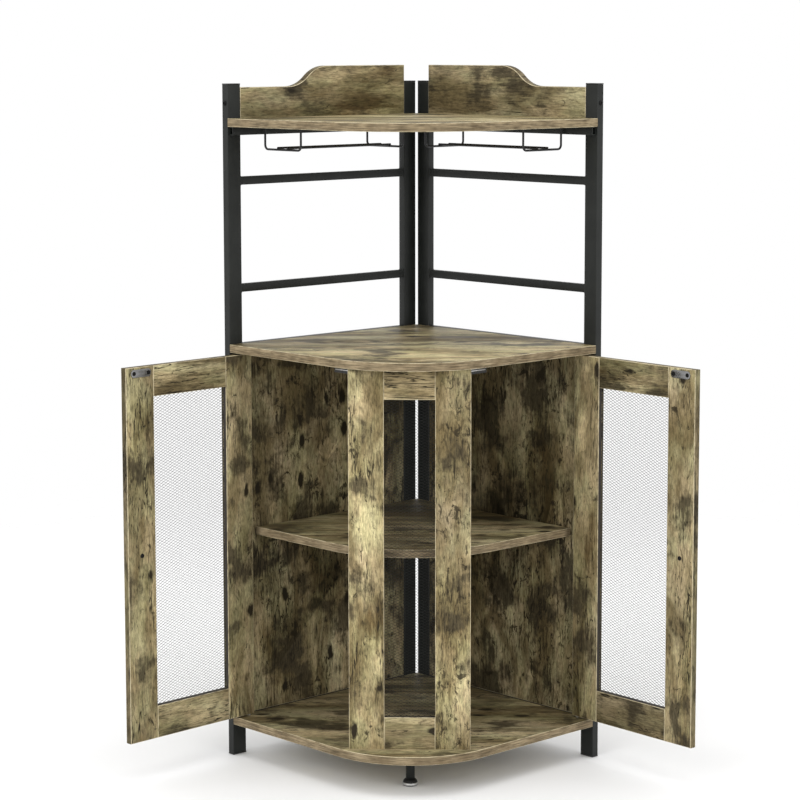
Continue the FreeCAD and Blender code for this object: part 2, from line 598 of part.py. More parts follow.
def expanded_metal(name, frame, left, outer_face, low, width, height, blank):
    """A blank slit in rows and stretched to its frame, every second row shifted by half a diamond."""
    wide = number(width)
    tall = number(height)
    margin = number("Sizes.mesh_groove")
    strand = number("Sizes.mesh_strand")
    columns = round(number(f"{blank} / Sizes.mesh_cell_wide"))
    rows = round(number("2 * Sizes.mesh_blank_tall / Sizes.mesh_cell_tall"))
    pitch_x = (wide - 2 * margin + 2 * strand) / columns
    pitch_z = 2 * (tall - 2 * margin + strand) / (rows + 1)
    half_x = (pitch_x - 2 * strand) / 2
    half_z = (pitch_z - strand) / 2
    start_x = margin + half_x
    start_z = margin + half_z
    sheet_edge = [Vector(0, 0, 0), Vector(wide, 0, 0), Vector(wide, 0, tall), Vector(0, 0, tall), Vector(0, 0, 0)]
    outlines = [Part.makePolygon(sheet_edge)]
    for row in range(rows):
        shifted = row % 2
        for column in range(columns - shifted):
            x = start_x + (column + shifted / 2) * pitch_x
            z = start_z + row * pitch_z / 2
            tips = [Vector(x - half_x, 0, z), Vector(x, 0, z - half_z), Vector(x + half_x, 0, z), Vector(x, 0, z + half_z)]
            outlines.append(Part.makePolygon(tips + tips[:1]))
    net = Part.makeFace(outlines, "Part::FaceMakerBullseye")
    item = doc.addObject("Part::Feature", name)
    item.Shape = net.extrude(Vector(0, number("Sizes.mesh_thick"), 0))
    place(item, frame, left, f"{outer_face} + Sizes.mesh_setback", low)
    return item


PANEL_FACE = f"(-{PANEL_FRONT})"
PANEL_LEFT = "(-Sizes.panel_width / 2)"
PANEL_OPENING = "(Sizes.panel_width - 2 * Sizes.stile_width)"
panel_opening_left = f"{PANEL_LEFT} + Sizes.stile_width"

left_stile = grooved_stile("panel_left_stile", FRONT, PANEL_LEFT, PANEL_FACE, 1, BOTTOM_TOP, COUNTER_UNDER)
keep(left_stile, "panel_left_stile")
keep(mirrored(left_stile, "panel_right_stile"), "panel_right_stile")
for rail_name, opening_side, low, tall in (
    ("panel_top_rail", -1, f"{COUNTER_UNDER} - Sizes.top_rail_tall", "Sizes.top_rail_tall"),
    ("panel_bottom_rail", 1, BOTTOM_TOP, "Sizes.bottom_rail_tall"),
):
    rail = grooved_rail(rail_name, FRONT, panel_opening_left, PANEL_FACE, opening_side, low, tall, PANEL_OPENING)
    keep(rail, rail_name)
mesh_low = f"{BOTTOM_TOP} + Sizes.bottom_rail_tall - Sizes.mesh_groove"
mesh_high = f"{COUNTER_UNDER} - Sizes.top_rail_tall + Sizes.mesh_groove"
panel_mesh = expanded_metal(
    "panel_mesh",
    FRONT,
    f"{panel_opening_left} - Sizes.mesh_groove",
    PANEL_FACE,
    mesh_low,
    f"{PANEL_OPENING} + 2 * Sizes.mesh_groove",
    f"{mesh_high} - ({mesh_low})",
    "Sizes.panel_mesh_blank",
)
keep(panel_mesh, "panel_mesh")

# Doors

hinge_stile = grooved_stile(
    "left_door_hinge_stile", DOOR, DOOR_HINGE_EDGE, DOOR_OUTER_FACE, 1, DOOR_BOTTOM, DOOR_TOP
)
for end, lift, upward in (("bottom", "0", True), ("top", f"{DOOR_TOP} - {DOOR_BOTTOM}", False)):
    seat = new_sketch(hinge_stile, "XY_Plane", f"{end}_pin_seat", lift)
    circle(seat, "Sizes.pivot_edge", "Sizes.door_thick / 2", "Sizes.pin_diameter")
    pocket(hinge_stile, seat, "Sizes.pin_seat", f"{end}_pin_pocket", along_normal=upward)
keep_pair(hinge_stile, "door_hinge_stile")

DOOR_MIDDLE = f"(({DOOR_BOTTOM} + {DOOR_TOP}) / 2)"
free_stile = grooved_stile(
    "left_door_free_stile", DOOR, DOOR_OPENING_RIGHT, DOOR_OUTER_FACE, -1, DOOR_BOTTOM, DOOR_TOP
)
screw_hole = new_sketch(free_stile, "XZ_Plane", "knob_screw_hole")
circle(screw_hole, "Sizes.stile_width / 2", f"{DOOR_MIDDLE} - {DOOR_BOTTOM}", "Sizes.knob_screw_diameter")
pocket(free_stile, screw_hole, "Sizes.door_thick", "knob_screw_pocket")
keep_pair(free_stile, "door_free_stile")

door_opening = f"{DOOR_OPENING_RIGHT} - {DOOR_OPENING_LEFT}"
for rail_name, opening_side, low, tall in (
    ("door_top_rail", -1, f"{DOOR_TOP} - Sizes.top_rail_tall", "Sizes.top_rail_tall"),
    ("door_bottom_rail", 1, DOOR_BOTTOM, "Sizes.bottom_rail_tall"),
):
    rail = grooved_rail(
        f"left_{rail_name}", DOOR, DOOR_OPENING_LEFT, DOOR_OUTER_FACE, opening_side, low, tall, door_opening
    )
    keep_pair(rail, rail_name)

door_mesh_low = f"{DOOR_BOTTOM} + Sizes.bottom_rail_tall - Sizes.mesh_groove"
door_mesh_high = f"{DOOR_TOP} - Sizes.top_rail_tall + Sizes.mesh_groove"
door_mesh = expanded_metal(
    "left_door_mesh",
    DOOR,
    f"{DOOR_OPENING_LEFT} - Sizes.mesh_groove",
    DOOR_OUTER_FACE,
    door_mesh_low,
    f"{door_opening} + 2 * Sizes.mesh_groove",
    f"{door_mesh_high} - ({door_mesh_low})",
    "Sizes.door_mesh_blank",
)
keep_pair(door_mesh, "door_mesh")

PIN_REACH = "(Sizes.door_gap + Sizes.pin_bore_depth - 1)"
pin_length = f"Sizes.pin_seat + {PIN_REACH}"
low_pin = plain_cylinder(
    "left_low_pin", DOOR, ("0", "0", f"{DOOR_BOTTOM} - {PIN_REACH}"), "Sizes.pin_diameter", pin_length
)
high_pin = plain_cylinder(
    "left_high_pin", DOOR, ("0", "0", f"{DOOR_TOP} - Sizes.pin_seat"), "Sizes.pin_diameter", pin_length
)
door_pins = doc.addObject("Part::Compound", "left_door_pins")
door_pins.Links = [low_pin, high_pin]
keep_pair(door_pins, "door_pins")

knob = doc.addObject("PartDesign::Body", "left_knob")
knob_outline = new_sketch(knob, "XY_Plane", "knob_outline")
knob_bore = "Sizes.knob_screw_diameter / 2"
knob_neck = "Sizes.knob_neck_diameter / 2"
knob_rim = "Sizes.knob_diameter / 2"
polygon(
    knob_outline,
    [
        (knob_bore, "0"),
        (knob_neck, "0"),
        (knob_neck, "-Sizes.knob_reach + Sizes.knob_rim_thick"),
        (knob_rim, "-Sizes.knob_reach + Sizes.knob_rim_thick"),
        (knob_rim, "-Sizes.knob_reach"),
        ("0", "-Sizes.knob_reach"),
        ("0", "-Sizes.knob_screw_bite"),
        (knob_bore, "-Sizes.knob_screw_bite"),
    ],
)
revolve(knob, knob_outline, "V_Axis", "knob_turn")
KNOB_X = f"({DOOR_FREE_EDGE} - Sizes.stile_width / 2)"
place(knob, DOOR, KNOB_X, DOOR_OUTER_FACE, DOOR_MIDDLE)
keep_pair(knob, "knob")

knob_screw = doc.addObject("PartDesign::Body", "left_knob_screw")
screw_outline = new_sketch(knob_screw, "XY_Plane", "knob_screw_outline")
screw_head = "Sizes.knob_screw_head_diameter / 2"
polygon(
    screw_outline,
    [
        ("0", "-Sizes.door_thick - Sizes.knob_screw_bite"),
        (knob_bore, "-Sizes.door_thick - Sizes.knob_screw_bite"),
        (knob_bore, "0"),
        (screw_head, "0"),
        (screw_head, "Sizes.knob_screw_head_thick"),
        ("0", "Sizes.knob_screw_head_thick"),
    ],
)
revolve(knob_screw, screw_outline, "V_Axis", "knob_screw_turn")
place(knob_screw, DOOR, KNOB_X, DOOR_INNER_FACE, DOOR_MIDDLE)
keep_pair(knob_screw, "knob_screw")

STRIKE_X = f"({DOOR_FREE_EDGE} - Sizes.strike_side_margin - Sizes.strike_length)"
STRIKE_TOP = f"({DOOR_TOP} - Sizes.strike_top_margin)"
strike = plain_box(
    "left_strike_plate",
    DOOR,
    (STRIKE_X, DOOR_INNER_FACE, f"{STRIKE_TOP} - Sizes.strike_tall"),
    ("Sizes.strike_length", "Sizes.strike_thick", "Sizes.strike_tall"),
)
keep_pair(strike, "strike_plate")

# Magnet catches under the counter, facing the steel plates of the closed doors

CATCH_FACE = f"({DOOR_INNER_ALONG} - Sizes.strike_thick - Sizes.catch_gap)"
CATCH_INWARD = f"({PIVOT_INWARD} + {STRIKE_X})"
CATCH_LOW = f"({COUNTER_UNDER} - Sizes.catch_tall)"
catch_case = plain_box(
    "left_magnet_catch",
    WALL,
    (f"{CATCH_FACE} - Sizes.catch_depth", CATCH_INWARD, CATCH_LOW),
    ("Sizes.catch_depth - Sizes.pole_plate_thick", "Sizes.strike_length", "Sizes.catch_tall"),
)
keep_pair(catch_case, "magnet_catch")

pole_plates = []
plate_tall = "Sizes.catch_tall / 3"
for where, low in (("low", CATCH_LOW), ("high", f"{COUNTER_UNDER} - {plate_tall}")):
    plate = plain_box(
        f"left_{where}_pole_plate",
        WALL,
        (f"{CATCH_FACE} - Sizes.pole_plate_thick", CATCH_INWARD, low),
        ("Sizes.pole_plate_thick", "Sizes.strike_length", plate_tall),
    )
    pole_plates += [plate, mirrored(plate, f"right_{where}_pole_plate")]
keep_group(pole_plates, "catch_pole_plates")

# Glass racks: two bent hangers with a pair of long wires that leave a slot for the stems


def hanger_path(sketch):
    """Down from the shelf, round a bend of short chords, across, round a bend and up again."""
    bend = "Sizes.rack_bend"
    width = "Sizes.rack_width"
    drop = "Sizes.rack_drop"
    near_side = [("0", "0")]
    far_side = [(width, "0")]
    for turn in (0, 30, 60, 90):
        reach = f"{bend} * (1 - cos({turn} deg))"
        height = f"{bend} * (1 - sin({turn} deg)) - {drop}"
        near_side.append(("0" if turn == 0 else reach, height))
        far_side.append((f"{width} - {reach}", height))
    spots = near_side + far_side[::-1]
    for start, end in zip(spots, spots[1:]):
        first = Vector(number(start[0]), number(start[1]), 0)
        last = Vector(number(end[0]), number(end[1]), 0)
        sketch.addGeometry(Part.LineSegment(first, last), False)
    for run, (x, y) in enumerate(spots[:-1]):
        pin_point(sketch, run, 1, x, y)
        if run:
            sketch.addConstraint(Sketcher.Constraint("Coincident", run - 1, 2, run, 1))
    pin_point(sketch, len(spots) - 2, 2, width, "0")


rack = doc.addObject("PartDesign::Body", "left_glass_rack")
hanger_line = new_sketch(rack, "YZ_Plane", "hanger_line")
hanger_path(hanger_line)
hanger_section = new_sketch(rack, "XY_Plane", "hanger_section")
octagon(hanger_section, "0", "0", "Sizes.rack_wire")
doc.recompute()
hanger = rack.newObject("PartDesign::AdditivePipe", "front_hanger")
hanger.Profile = hanger_section
hanger.Spine = hanger_line
hanger.Transition = "Right corner"
doc.recompute()
long_wires = new_sketch(rack, "YZ_Plane", "long_wires", "-Sizes.rack_wire / 2")
long_wire_height = "-Sizes.rack_drop + Sizes.rack_wire - Sizes.rack_weld_sink"
for half_slot in ("-Sizes.rack_slot / 2", "Sizes.rack_slot / 2"):
    octagon(long_wires, f"Sizes.rack_width / 2 + ({half_slot})", long_wire_height, "Sizes.rack_wire")
pad(rack, long_wires, "Sizes.rack_length + Sizes.rack_wire", "long_wire_pair")
x_axis = [item for item in rack.Origin.OriginFeatures if item.Role == "X_Axis"][0]
hanger_pair = rack.newObject("PartDesign::LinearPattern", "hanger_pair")
hanger_pair.Originals = [hanger]
hanger_pair.Direction = (x_axis, [""])
hanger_pair.Occurrences = 2
hanger_pair.setExpression("Length", "Sizes.rack_length")
rack.Tip = hanger_pair
place(rack, WALL, f"{INNER_SIDE} - Sizes.rack_setback - Sizes.rack_length", "Sizes.rack_inset", SHELF_UNDER)
keep_pair(rack, "glass_rack")

# Front leg and levelling foot

LEG_Y = f"(-({APEX} - Sizes.leg_setback))"
leg = doc.addObject("PartDesign::Body", "front_leg")
leg_outline = new_sketch(leg, "XZ_Plane", "leg_outline")
leg_bore = "Sizes.stud_diameter / 2 + Sizes.stud_clearance"
leg_radius = "Sizes.leg_diameter / 2"
leg_low = "Sizes.foot_height + Sizes.foot_gap"
bore_top = f"{leg_low} + Sizes.stud_length + 2 * Sizes.foot_gap"
flange_low = "Sizes.floor_gap - Sizes.leg_flange_thick"
flange_radius = "Sizes.leg_flange_diameter / 2"
polygon(
    leg_outline,
    [
        (leg_bore, leg_low),
        (leg_radius, leg_low),
        (leg_radius, flange_low),
        (flange_radius, flange_low),
        (flange_radius, "Sizes.floor_gap"),
        ("0", "Sizes.floor_gap"),
        ("0", bore_top),
        (leg_bore, bore_top),
    ],
)
revolve(leg, leg_outline, "V_Axis", "leg_turn")
place(leg, FRONT, "0", LEG_Y, "0")
keep(leg, "front_leg")

foot = doc.addObject("PartDesign::Body", "levelling_foot")
foot_outline = new_sketch(foot, "XZ_Plane", "foot_outline")
foot_radius = "Sizes.foot_diameter / 2"
foot_shoulder = "Sizes.foot_shoulder_diameter / 2"
stud_radius = "Sizes.stud_diameter / 2"
polygon(
    foot_outline,
    [
        ("0", "0"),
        (foot_radius, "0"),
        (foot_radius, "Sizes.foot_rim"),
        (foot_shoulder, "Sizes.foot_rim"),
        (foot_shoulder, "Sizes.foot_height"),
        (stud_radius, "Sizes.foot_height"),
        (stud_radius, "Sizes.foot_height + Sizes.stud_length"),
        ("0", "Sizes.foot_height + Sizes.stud_length"),
    ],
)
revolve(foot, foot_outline, "V_Axis", "foot_turn")
place(foot, FRONT, "0", LEG_Y, "0")
keep(foot, "levelling_foot")

# Check everything, then write one file for each sub-part

doc.recompute()
for item in doc.Objects:
    if "Invalid" in item.State or "Error" in item.State:
        raise RuntimeError(f"{item.Name} failed: {item.State}")
for item in pieces:
    if item.Shape.isNull() or not item.Shape.isValid():
        raise RuntimeError(f"{item.Label} has no valid shape")

os.makedirs("parts", exist_ok=True)
for item in pieces:
    item.Shape.exportStep(f"parts/{item.Label}.step")
print(f"{len(pieces)} sub-parts written")
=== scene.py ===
# %% [markdown]
# # Dressing a corner bar cabinet
#
# The cabinet stands in a room corner: two black steel side frames, rounded boards with a rustic wood print,
# an open bay with hanging racks, and a cupboard with two mesh doors. The CAD frame already holds every piece
# in its true place, in metres. This lesson keeps that frame and gives each piece its real surface.

# %% Load the frame
import json
import math

import bmesh
import bpy
from mathutils import Matrix, Vector


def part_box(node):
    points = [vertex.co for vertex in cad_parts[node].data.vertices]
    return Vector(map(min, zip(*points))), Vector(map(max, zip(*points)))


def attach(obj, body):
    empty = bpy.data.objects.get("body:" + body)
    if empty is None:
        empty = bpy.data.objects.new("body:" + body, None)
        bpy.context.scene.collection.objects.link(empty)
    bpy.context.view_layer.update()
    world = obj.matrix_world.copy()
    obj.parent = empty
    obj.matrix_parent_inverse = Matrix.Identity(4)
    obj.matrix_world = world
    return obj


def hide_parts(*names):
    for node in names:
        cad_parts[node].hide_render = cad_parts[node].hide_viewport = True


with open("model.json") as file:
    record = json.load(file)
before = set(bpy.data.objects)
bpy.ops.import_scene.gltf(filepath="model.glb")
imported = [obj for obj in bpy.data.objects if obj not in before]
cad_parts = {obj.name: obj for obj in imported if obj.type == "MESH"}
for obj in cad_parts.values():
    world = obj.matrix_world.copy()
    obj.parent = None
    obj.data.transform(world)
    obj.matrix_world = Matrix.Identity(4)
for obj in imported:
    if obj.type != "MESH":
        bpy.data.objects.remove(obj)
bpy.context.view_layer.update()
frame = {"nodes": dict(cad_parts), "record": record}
nodes = frame["nodes"]
body_of = {}
for body, members in frame["record"]["behaviour"]["bodies"].items():
    for member in members:
        body_of[member] = body

# %% [markdown]
# ## Directions
#
# The two walls stand at 45 degrees to the camera's view, and the open doors at 47. A board is easiest to
# shape when its own edges lie along X, Y and Z, so every copy is first turned by its board's angle, shaped,
# and turned back. The thin direction of a turned board is then Y, and of a lying board Z.

# %% Board angles
WALL_TURN = math.radians(45)
DOOR_TURN = math.radians(47)
SAME_SPOT = 1e-6
FLAT_FOLD = math.radians(0.3)
X, Y, Z = 0, 1, 2


def board_turn(node):
    """The angle between X and the board's length, seen from above."""
    if not node.startswith(("left_", "right_")):
        return 0.0
    turn = DOOR_TURN if body_of[node] != "cabinet" else WALL_TURN
    return turn if node.startswith("left_") else -turn


def turn_level(bm, angle):
    """Turns a mesh about the upright axis through the origin."""
    bmesh.ops.rotate(bm, verts=bm.verts[:], cent=(0, 0, 0), matrix=Matrix.Rotation(angle, 3, "Z"))


def turned_mesh(node, turn):
    """A merged copy of a CAD piece, turned so that its length lies along X."""
    bm = bmesh.new()
    bm.from_mesh(nodes[node].data)
    bmesh.ops.remove_doubles(bm, verts=bm.verts[:], dist=SAME_SPOT)
    bmesh.ops.dissolve_limit(bm, angle_limit=FLAT_FOLD, verts=bm.verts[:], edges=bm.edges[:])
    turn_level(bm, -turn)
    return bm


def reach(bm):
    """Lowest and highest corner of a mesh."""
    low = Vector(min(v.co[axis] for v in bm.verts) for axis in (X, Y, Z))
    high = Vector(max(v.co[axis] for v in bm.verts) for axis in (X, Y, Z))
    return low, high


def node_reach(node):
    """Lowest and highest corner of a CAD piece along its own board's directions."""
    bm = turned_mesh(node, board_turn(node))
    corners = reach(bm)
    bm.free()
    return corners


stile_low, stile_high = node_reach("left_door_free_stile")
print("a door's free stile measures", tuple(round(side, 4) for side in stile_high - stile_low))

# %% [markdown]
# ## From a bmesh to a piece
#
# Every piece ends the same way: its mesh becomes an object at the origin, it gets its finishes, it rides on
# the body it belongs to, and the CAD pieces it replaces are hidden. The cabinet is a mirror image about
# X = 0, so many pieces are made once for the left and mirrored for the right.

# %% Making pieces
SMOOTH_ANGLE = 35
CABINET_PAIR = ("cabinet", "cabinet")
DOOR_PAIR = ("left_door", "right_door")


def add_piece(name, bm, finishes, body, replaced=(), smooth_angle=SMOOTH_ANGLE):
    """Turn a bmesh into a piece that rides on a body."""
    mesh = bpy.data.meshes.new(name)
    bm.to_mesh(mesh)
    bm.free()
    for finish in finishes:
        mesh.materials.append(finish)
    mesh.shade_smooth()
    mesh.set_sharp_from_angle(angle=math.radians(smooth_angle))
    piece = bpy.data.objects.new(name, mesh)
    bpy.context.scene.collection.objects.link(piece)
    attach(piece, body)
    if replaced:
        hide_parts(*replaced)
    return piece


def mirrored_copy(bm):
    """The same mesh on the other side of X = 0, with its faces outwards again."""
    twin = bm.copy()
    bmesh.ops.scale(twin, verts=twin.verts[:], vec=(-1, 1, 1))
    bmesh.ops.reverse_faces(twin, faces=twin.faces[:])
    return twin


def add_pair(name, bm, finishes, bodies, replaced="", smooth_angle=SMOOTH_ANGLE):
    """A left piece and its right twin."""
    twin = mirrored_copy(bm)
    for side, half, body in (("left", bm, bodies[0]), ("right", twin, bodies[1])):
        stands_for = [f"{side}_{replaced}"] if replaced else []
        add_piece(f"{side}_{name}", half, finishes, body, stands_for, smooth_angle)


print("pairs ride on", CABINET_PAIR, "or on", DOOR_PAIR)

# %% [markdown]
# ## Node helpers
#
# Procedural finishes are built from a few kinds of nodes. Small helpers keep the recipes short: the first
# adds a node and fills its sockets with numbers or links, and the others make ramps, mixes, sums and noise.

# %% Node helpers


def add_node(tree, kind, sockets=None, **settings):
    """A node whose sockets are given as numbers or as links."""
    item = tree.nodes.new(kind)
    for key, value in settings.items():
        setattr(item, key, value)
    for key, value in (sockets or {}).items():
        if isinstance(value, bpy.types.NodeSocket):
            tree.links.new(value, item.inputs[key])
        else:
            item.inputs[key].default_value = value
    return item


def grey(value):
    return (value, value, value)


def ramp(tree, factor, stops):
    """A colour ramp from a list of places and colours."""
    item = add_node(tree, "ShaderNodeValToRGB", {"Fac": factor})
    elements = item.color_ramp.elements
    while len(elements) < len(stops):
        elements.new(0.5)
    for element, (position, colour) in zip(elements, stops):
        element.position = position
        element.color = (*colour, 1)
    return item.outputs["Color"]


def mix(tree, factor, first, second, blend="MIX"):
    """Two colours mixed or multiplied."""
    item = add_node(tree, "ShaderNodeMix", data_type="RGBA", blend_type=blend)
    for index, value in ((0, factor), (6, first), (7, second)):
        if isinstance(value, bpy.types.NodeSocket):
            tree.links.new(value, item.inputs[index])
        else:
            item.inputs[index].default_value = value if index == 0 else (*value, 1)
    return item.outputs[2]


def maths(tree, operation, first, second=0.0):
    """One sum on two numbers."""
    return add_node(tree, "ShaderNodeMath", {0: first, 1: second}, operation=operation).outputs[0]


def stretched(tree, place, scale):
    """A place scaled along each axis: what reads it is drawn out where the scale is small."""
    return add_node(tree, "ShaderNodeMapping", {"Vector": place, "Scale": scale}).outputs["Vector"]


def noise(tree, place, scale, detail=2.0, roughness=0.5, distortion=0.0):
    """Cloudy noise between 0 and 1."""
    sockets = {"Vector": place, "Scale": scale, "Detail": detail, "Roughness": roughness}
    return add_node(tree, "ShaderNodeTexNoise", {**sockets, "Distortion": distortion}).outputs["Fac"]


print("node helpers for ramps, mixes, sums and noise")

# %% [markdown]
# ## A new finish
#
# Every finish has one Principled shader. What is the same all over, such as the specular level, is set on the
# shader's own socket. What varies, such as colour, roughness and bump, is driven by a texture that reads
# object coordinates, so it stays on the piece when a door swings.

# %% Finish helpers


def new_finish(name, roughness, metallic=0.0, specular=0.5):
    """A material with one Principled shader, and its tree, shader and object coordinates."""
    finish = bpy.data.materials.new(name)
    finish.use_nodes = True
    tree = finish.node_tree
    shader = tree.nodes["Principled BSDF"]
    shader.inputs["Roughness"].default_value = roughness
    shader.inputs["Metallic"].default_value = metallic
    shader.inputs["Specular IOR Level"].default_value = specular
    place = add_node(tree, "ShaderNodeTexCoord").outputs["Object"]
    return finish, tree, shader, place


def drive(tree, shader, socket, value, stops):
    """Drives one socket of the shader by a ramp over a value."""
    tree.links.new(ramp(tree, value, stops), shader.inputs[socket])


def add_bump(tree, shader, height, strength, distance):
    """Relief from a height, no deeper than the distance in metres."""
    bump = add_node(tree, "ShaderNodeBump", {"Height": height, "Strength": strength, "Distance": distance})
    tree.links.new(bump.outputs["Normal"], shader.inputs["Normal"])


print("finish helpers for colour, roughness and bump")

# %% [markdown]
# ## The grain of the wood print
#
# The boards carry a printed laminate of weathered wood. A picture of wood could be painted on, but layered
# noise has no seams and needs no image. Every layer reads the same place, turned so that the grain lies along
# X, and is drawn out along X by its own amount: patches a little, streaks a lot. A print that goes round a
# board's rim is drawn out along every level direction instead.

# %% Grain
UPRIGHT = (0, math.radians(90), 0)
SEED_STEP = (1, 0.37, 0.71)


def rail_turn(angle):
    """Turns a lying grain at this angle from X onto X."""
    return (0, 0, -angle)


class Grain:
    """Places on a board with its grain along X, and noise that is drawn out along it."""

    def __init__(self, tree, place, turn, seed, run, every_way):
        shift = tuple(seed * step for step in SEED_STEP)
        turned = {"Vector": place, "Rotation": turn, "Location": shift}
        self.tree = tree
        self.place = add_node(tree, "ShaderNodeMapping", turned).outputs["Vector"]
        self.run = run
        self.every_way = every_way

    def drawn_out(self, place, stretch):
        along = stretch * self.run
        return stretched(self.tree, place, (along, along if self.every_way else 1, 1))

    def layer(self, stretch, scale, detail, roughness=0.5, distortion=0.0):
        return noise(self.tree, self.drawn_out(self.place, stretch), scale, detail, roughness, distortion)


print("grain turned upright, or along a rail at any angle")

# %% [markdown]
# ## Patches and plank strips
#
# Under everything lie cream, pale, olive and brown patches with a change of tint from rose to moss and broad
# darker washes. The print also shows old planks side by side, so long cells of a Voronoi net shade it in
# strips, and a little noise makes their borders waver. Streaks push the borders of patches to and fro, which
# frays them along the grain as a brush would.

# %% Ground colours
CREAM = (0.64, 0.555, 0.36)
PALE = (0.535, 0.458, 0.275)
OLIVE = (0.38, 0.32, 0.176)
BROWN = (0.14, 0.104, 0.048)
ROSE_TINT = (1.0, 0.93, 0.87)
MOSS_TINT = (0.97, 1.0, 0.90)


def frayed(tree, blot, brush, amount):
    """A value whose borders are pushed to and fro by the streaks."""
    return maths(tree, "ADD", blot, maths(tree, "MULTIPLY", brush, amount))


def shaded(tree, colour, value, low, high, dark, amount):
    """Darkens a colour where a value is low."""
    shades = ramp(tree, value, [(low, grey(dark)), (high, grey(1.0))])
    return mix(tree, amount, colour, shades, "MULTIPLY")


def ground(tree, grain, brush):
    """Patches, their tints and broad washes."""
    patches = frayed(tree, grain.layer(0.45, 12, 5, 0.56, 0.5), brush, 0.2)
    colour = ramp(tree, patches, [(0.33, BROWN), (0.43, OLIVE), (0.54, PALE), (0.68, CREAM)])
    tint = ramp(tree, grain.layer(0.7, 24, 5, 0.6), [(0.42, ROSE_TINT), (0.58, MOSS_TINT)])
    colour = mix(tree, 1.0, colour, tint, "MULTIPLY")
    wash = grain.layer(0.8, 5.5, 4, 0.6)
    return shaded(tree, colour, wash, low=0.38, high=0.56, dark=0.55, amount=0.7)


def plank_strips(tree, grain, colour):
    """Long strips of different shade."""
    sway = add_node(tree, "ShaderNodeTexNoise", {"Vector": grain.place, "Scale": 16.0}).outputs["Color"]
    wavering = mix(tree, 0.05, grain.place, sway)
    cells = {"Vector": grain.drawn_out(wavering, 0.14), "Scale": 30.0}
    strips = add_node(tree, "ShaderNodeTexVoronoi", cells).outputs["Color"]
    return shaded(tree, colour, strips, low=0.15, high=0.75, dark=0.55, amount=0.8)


print("patches from cream to brown, and plank strips")

# %% [markdown]
# ## Stains and fine grain
#
# Brown clouds and taupe stains lie over the patches. The taupe ones spread a little across the grain, as
# water marks do. Streaks, fibres and a fine mottle then shade the whole, each at its own scale, so that the
# print still has detail when the camera comes close.

# %% Stains and fine grain
TAUPE = (0.050, 0.040, 0.023)


def mask(tree, value, low, high, most=1.0):
    """Nothing below the low value, and the most above the high one."""
    return ramp(tree, value, [(low, grey(0.0)), (high, grey(most))])


def stains(tree, grain, brush, clouds, colour, stained):
    """Brown clouds, then taupe stains with torn borders."""
    colour = mix(tree, mask(tree, clouds, 0.48 - stained, 0.66 - stained, 0.85), colour, BROWN)
    worn = frayed(tree, grain.layer(1.3, 11, 7, 0.6, 0.2), brush, 0.28)
    return mix(tree, mask(tree, worn, 0.555 - stained, 0.64 - stained, 0.88), colour, TAUPE)


def fine_grain(tree, grain, streaks, colour):
    """Streaks, fibres and mottle."""
    fibres = grain.layer(0.2, 520, 3, 0.65)
    mottle = grain.layer(0.7, 150, 5, 0.75)
    colour = shaded(tree, colour, streaks, low=0.34, high=0.56, dark=0.78, amount=0.8)
    colour = shaded(tree, colour, fibres, low=0.38, high=0.56, dark=0.5, amount=0.8)
    return shaded(tree, colour, mottle, low=0.36, high=0.54, dark=0.55, amount=0.75)


print("stains, streaks, fibres and mottle")

# %% [markdown]
# ## Ink marks, cracks and knots
#
# The darkest marks of the print are almost black: blots, clusters of small pecks, nicks, cracks along the
# grain and knots. A crack is the line where a noise passes its middle value, kept only in some places. A knot
# is the middle of a Voronoi cell with a ragged border, and only a chosen share of the cells has one.

# %% Dark marks
INK = (0.018, 0.014, 0.008)


def both(tree, first, second):
    """Full only where both masks are full."""
    return maths(tree, "MULTIPLY", first, second)


def ink_marks(tree, grain, brush, colour, stained):
    """Blots, pecks and nicks."""
    blots = frayed(tree, grain.layer(0.9, 40, 7, 0.7, 0.8), brush, 0.2)
    colour = mix(tree, mask(tree, blots, 0.63 - stained, 0.68 - stained, 0.88), colour, INK)
    clusters = mask(tree, grain.layer(0.6, 13, 4, 0.6), 0.48, 0.60)
    pecks = mask(tree, grain.layer(0.6, 110, 7, 0.75, 0.5), 0.60 - stained, 0.65 - stained, 0.8)
    colour = mix(tree, both(tree, pecks, clusters), colour, INK)
    nicks = grain.layer(0.35, 210, 3)
    return mix(tree, mask(tree, nicks, 0.68 - stained, 0.73 - stained, 0.7), colour, INK)


def cracks(tree, grain, scale, width, low, high):
    """Thin lines along the grain."""
    middle_line = maths(tree, "SUBTRACT", grain.layer(0.12, scale, 4, 0.6, 0.6), 0.5)
    line = ramp(tree, maths(tree, "ABSOLUTE", middle_line), [(width / 2, grey(1.0)), (width, grey(0.0))])
    return both(tree, line, mask(tree, grain.layer(0.5, 15, 3), low, high))


def knots(tree, grain, knotty):
    """Ragged dark ovals."""
    spaced = stretched(tree, grain.place, (0.5, 1, 1))
    cells = add_node(tree, "ShaderNodeTexVoronoi", {"Vector": spaced, "Scale": 27.0})
    ragged = maths(tree, "MULTIPLY", grain.layer(0.7, 110, 3), 0.3)
    from_middle = maths(tree, "ADD", cells.outputs["Distance"], ragged)
    oval = ramp(tree, from_middle, [(0.30, grey(1.0)), (0.40, grey(0.0))])
    chosen = maths(tree, "LESS_THAN", cells.outputs["Color"], knotty)
    return both(tree, oval, chosen)


print("blots, pecks, nicks, cracks and knots")

# %% [markdown]
# ## The whole print
#
# One recipe lays all these layers over each other. The boards were cut from different sheets, so each has its
# own seed and shade: the counter and the front panel are paler, and the edges of the upright boards darker.
# The insides are more stained and darker, and their darker tone is partly painted shade, as little light gets
# into the cupboard. Printed laminate is nearly matt, so its specular level is low.

# %% Wood print
WOOD_SPECULAR = 0.1


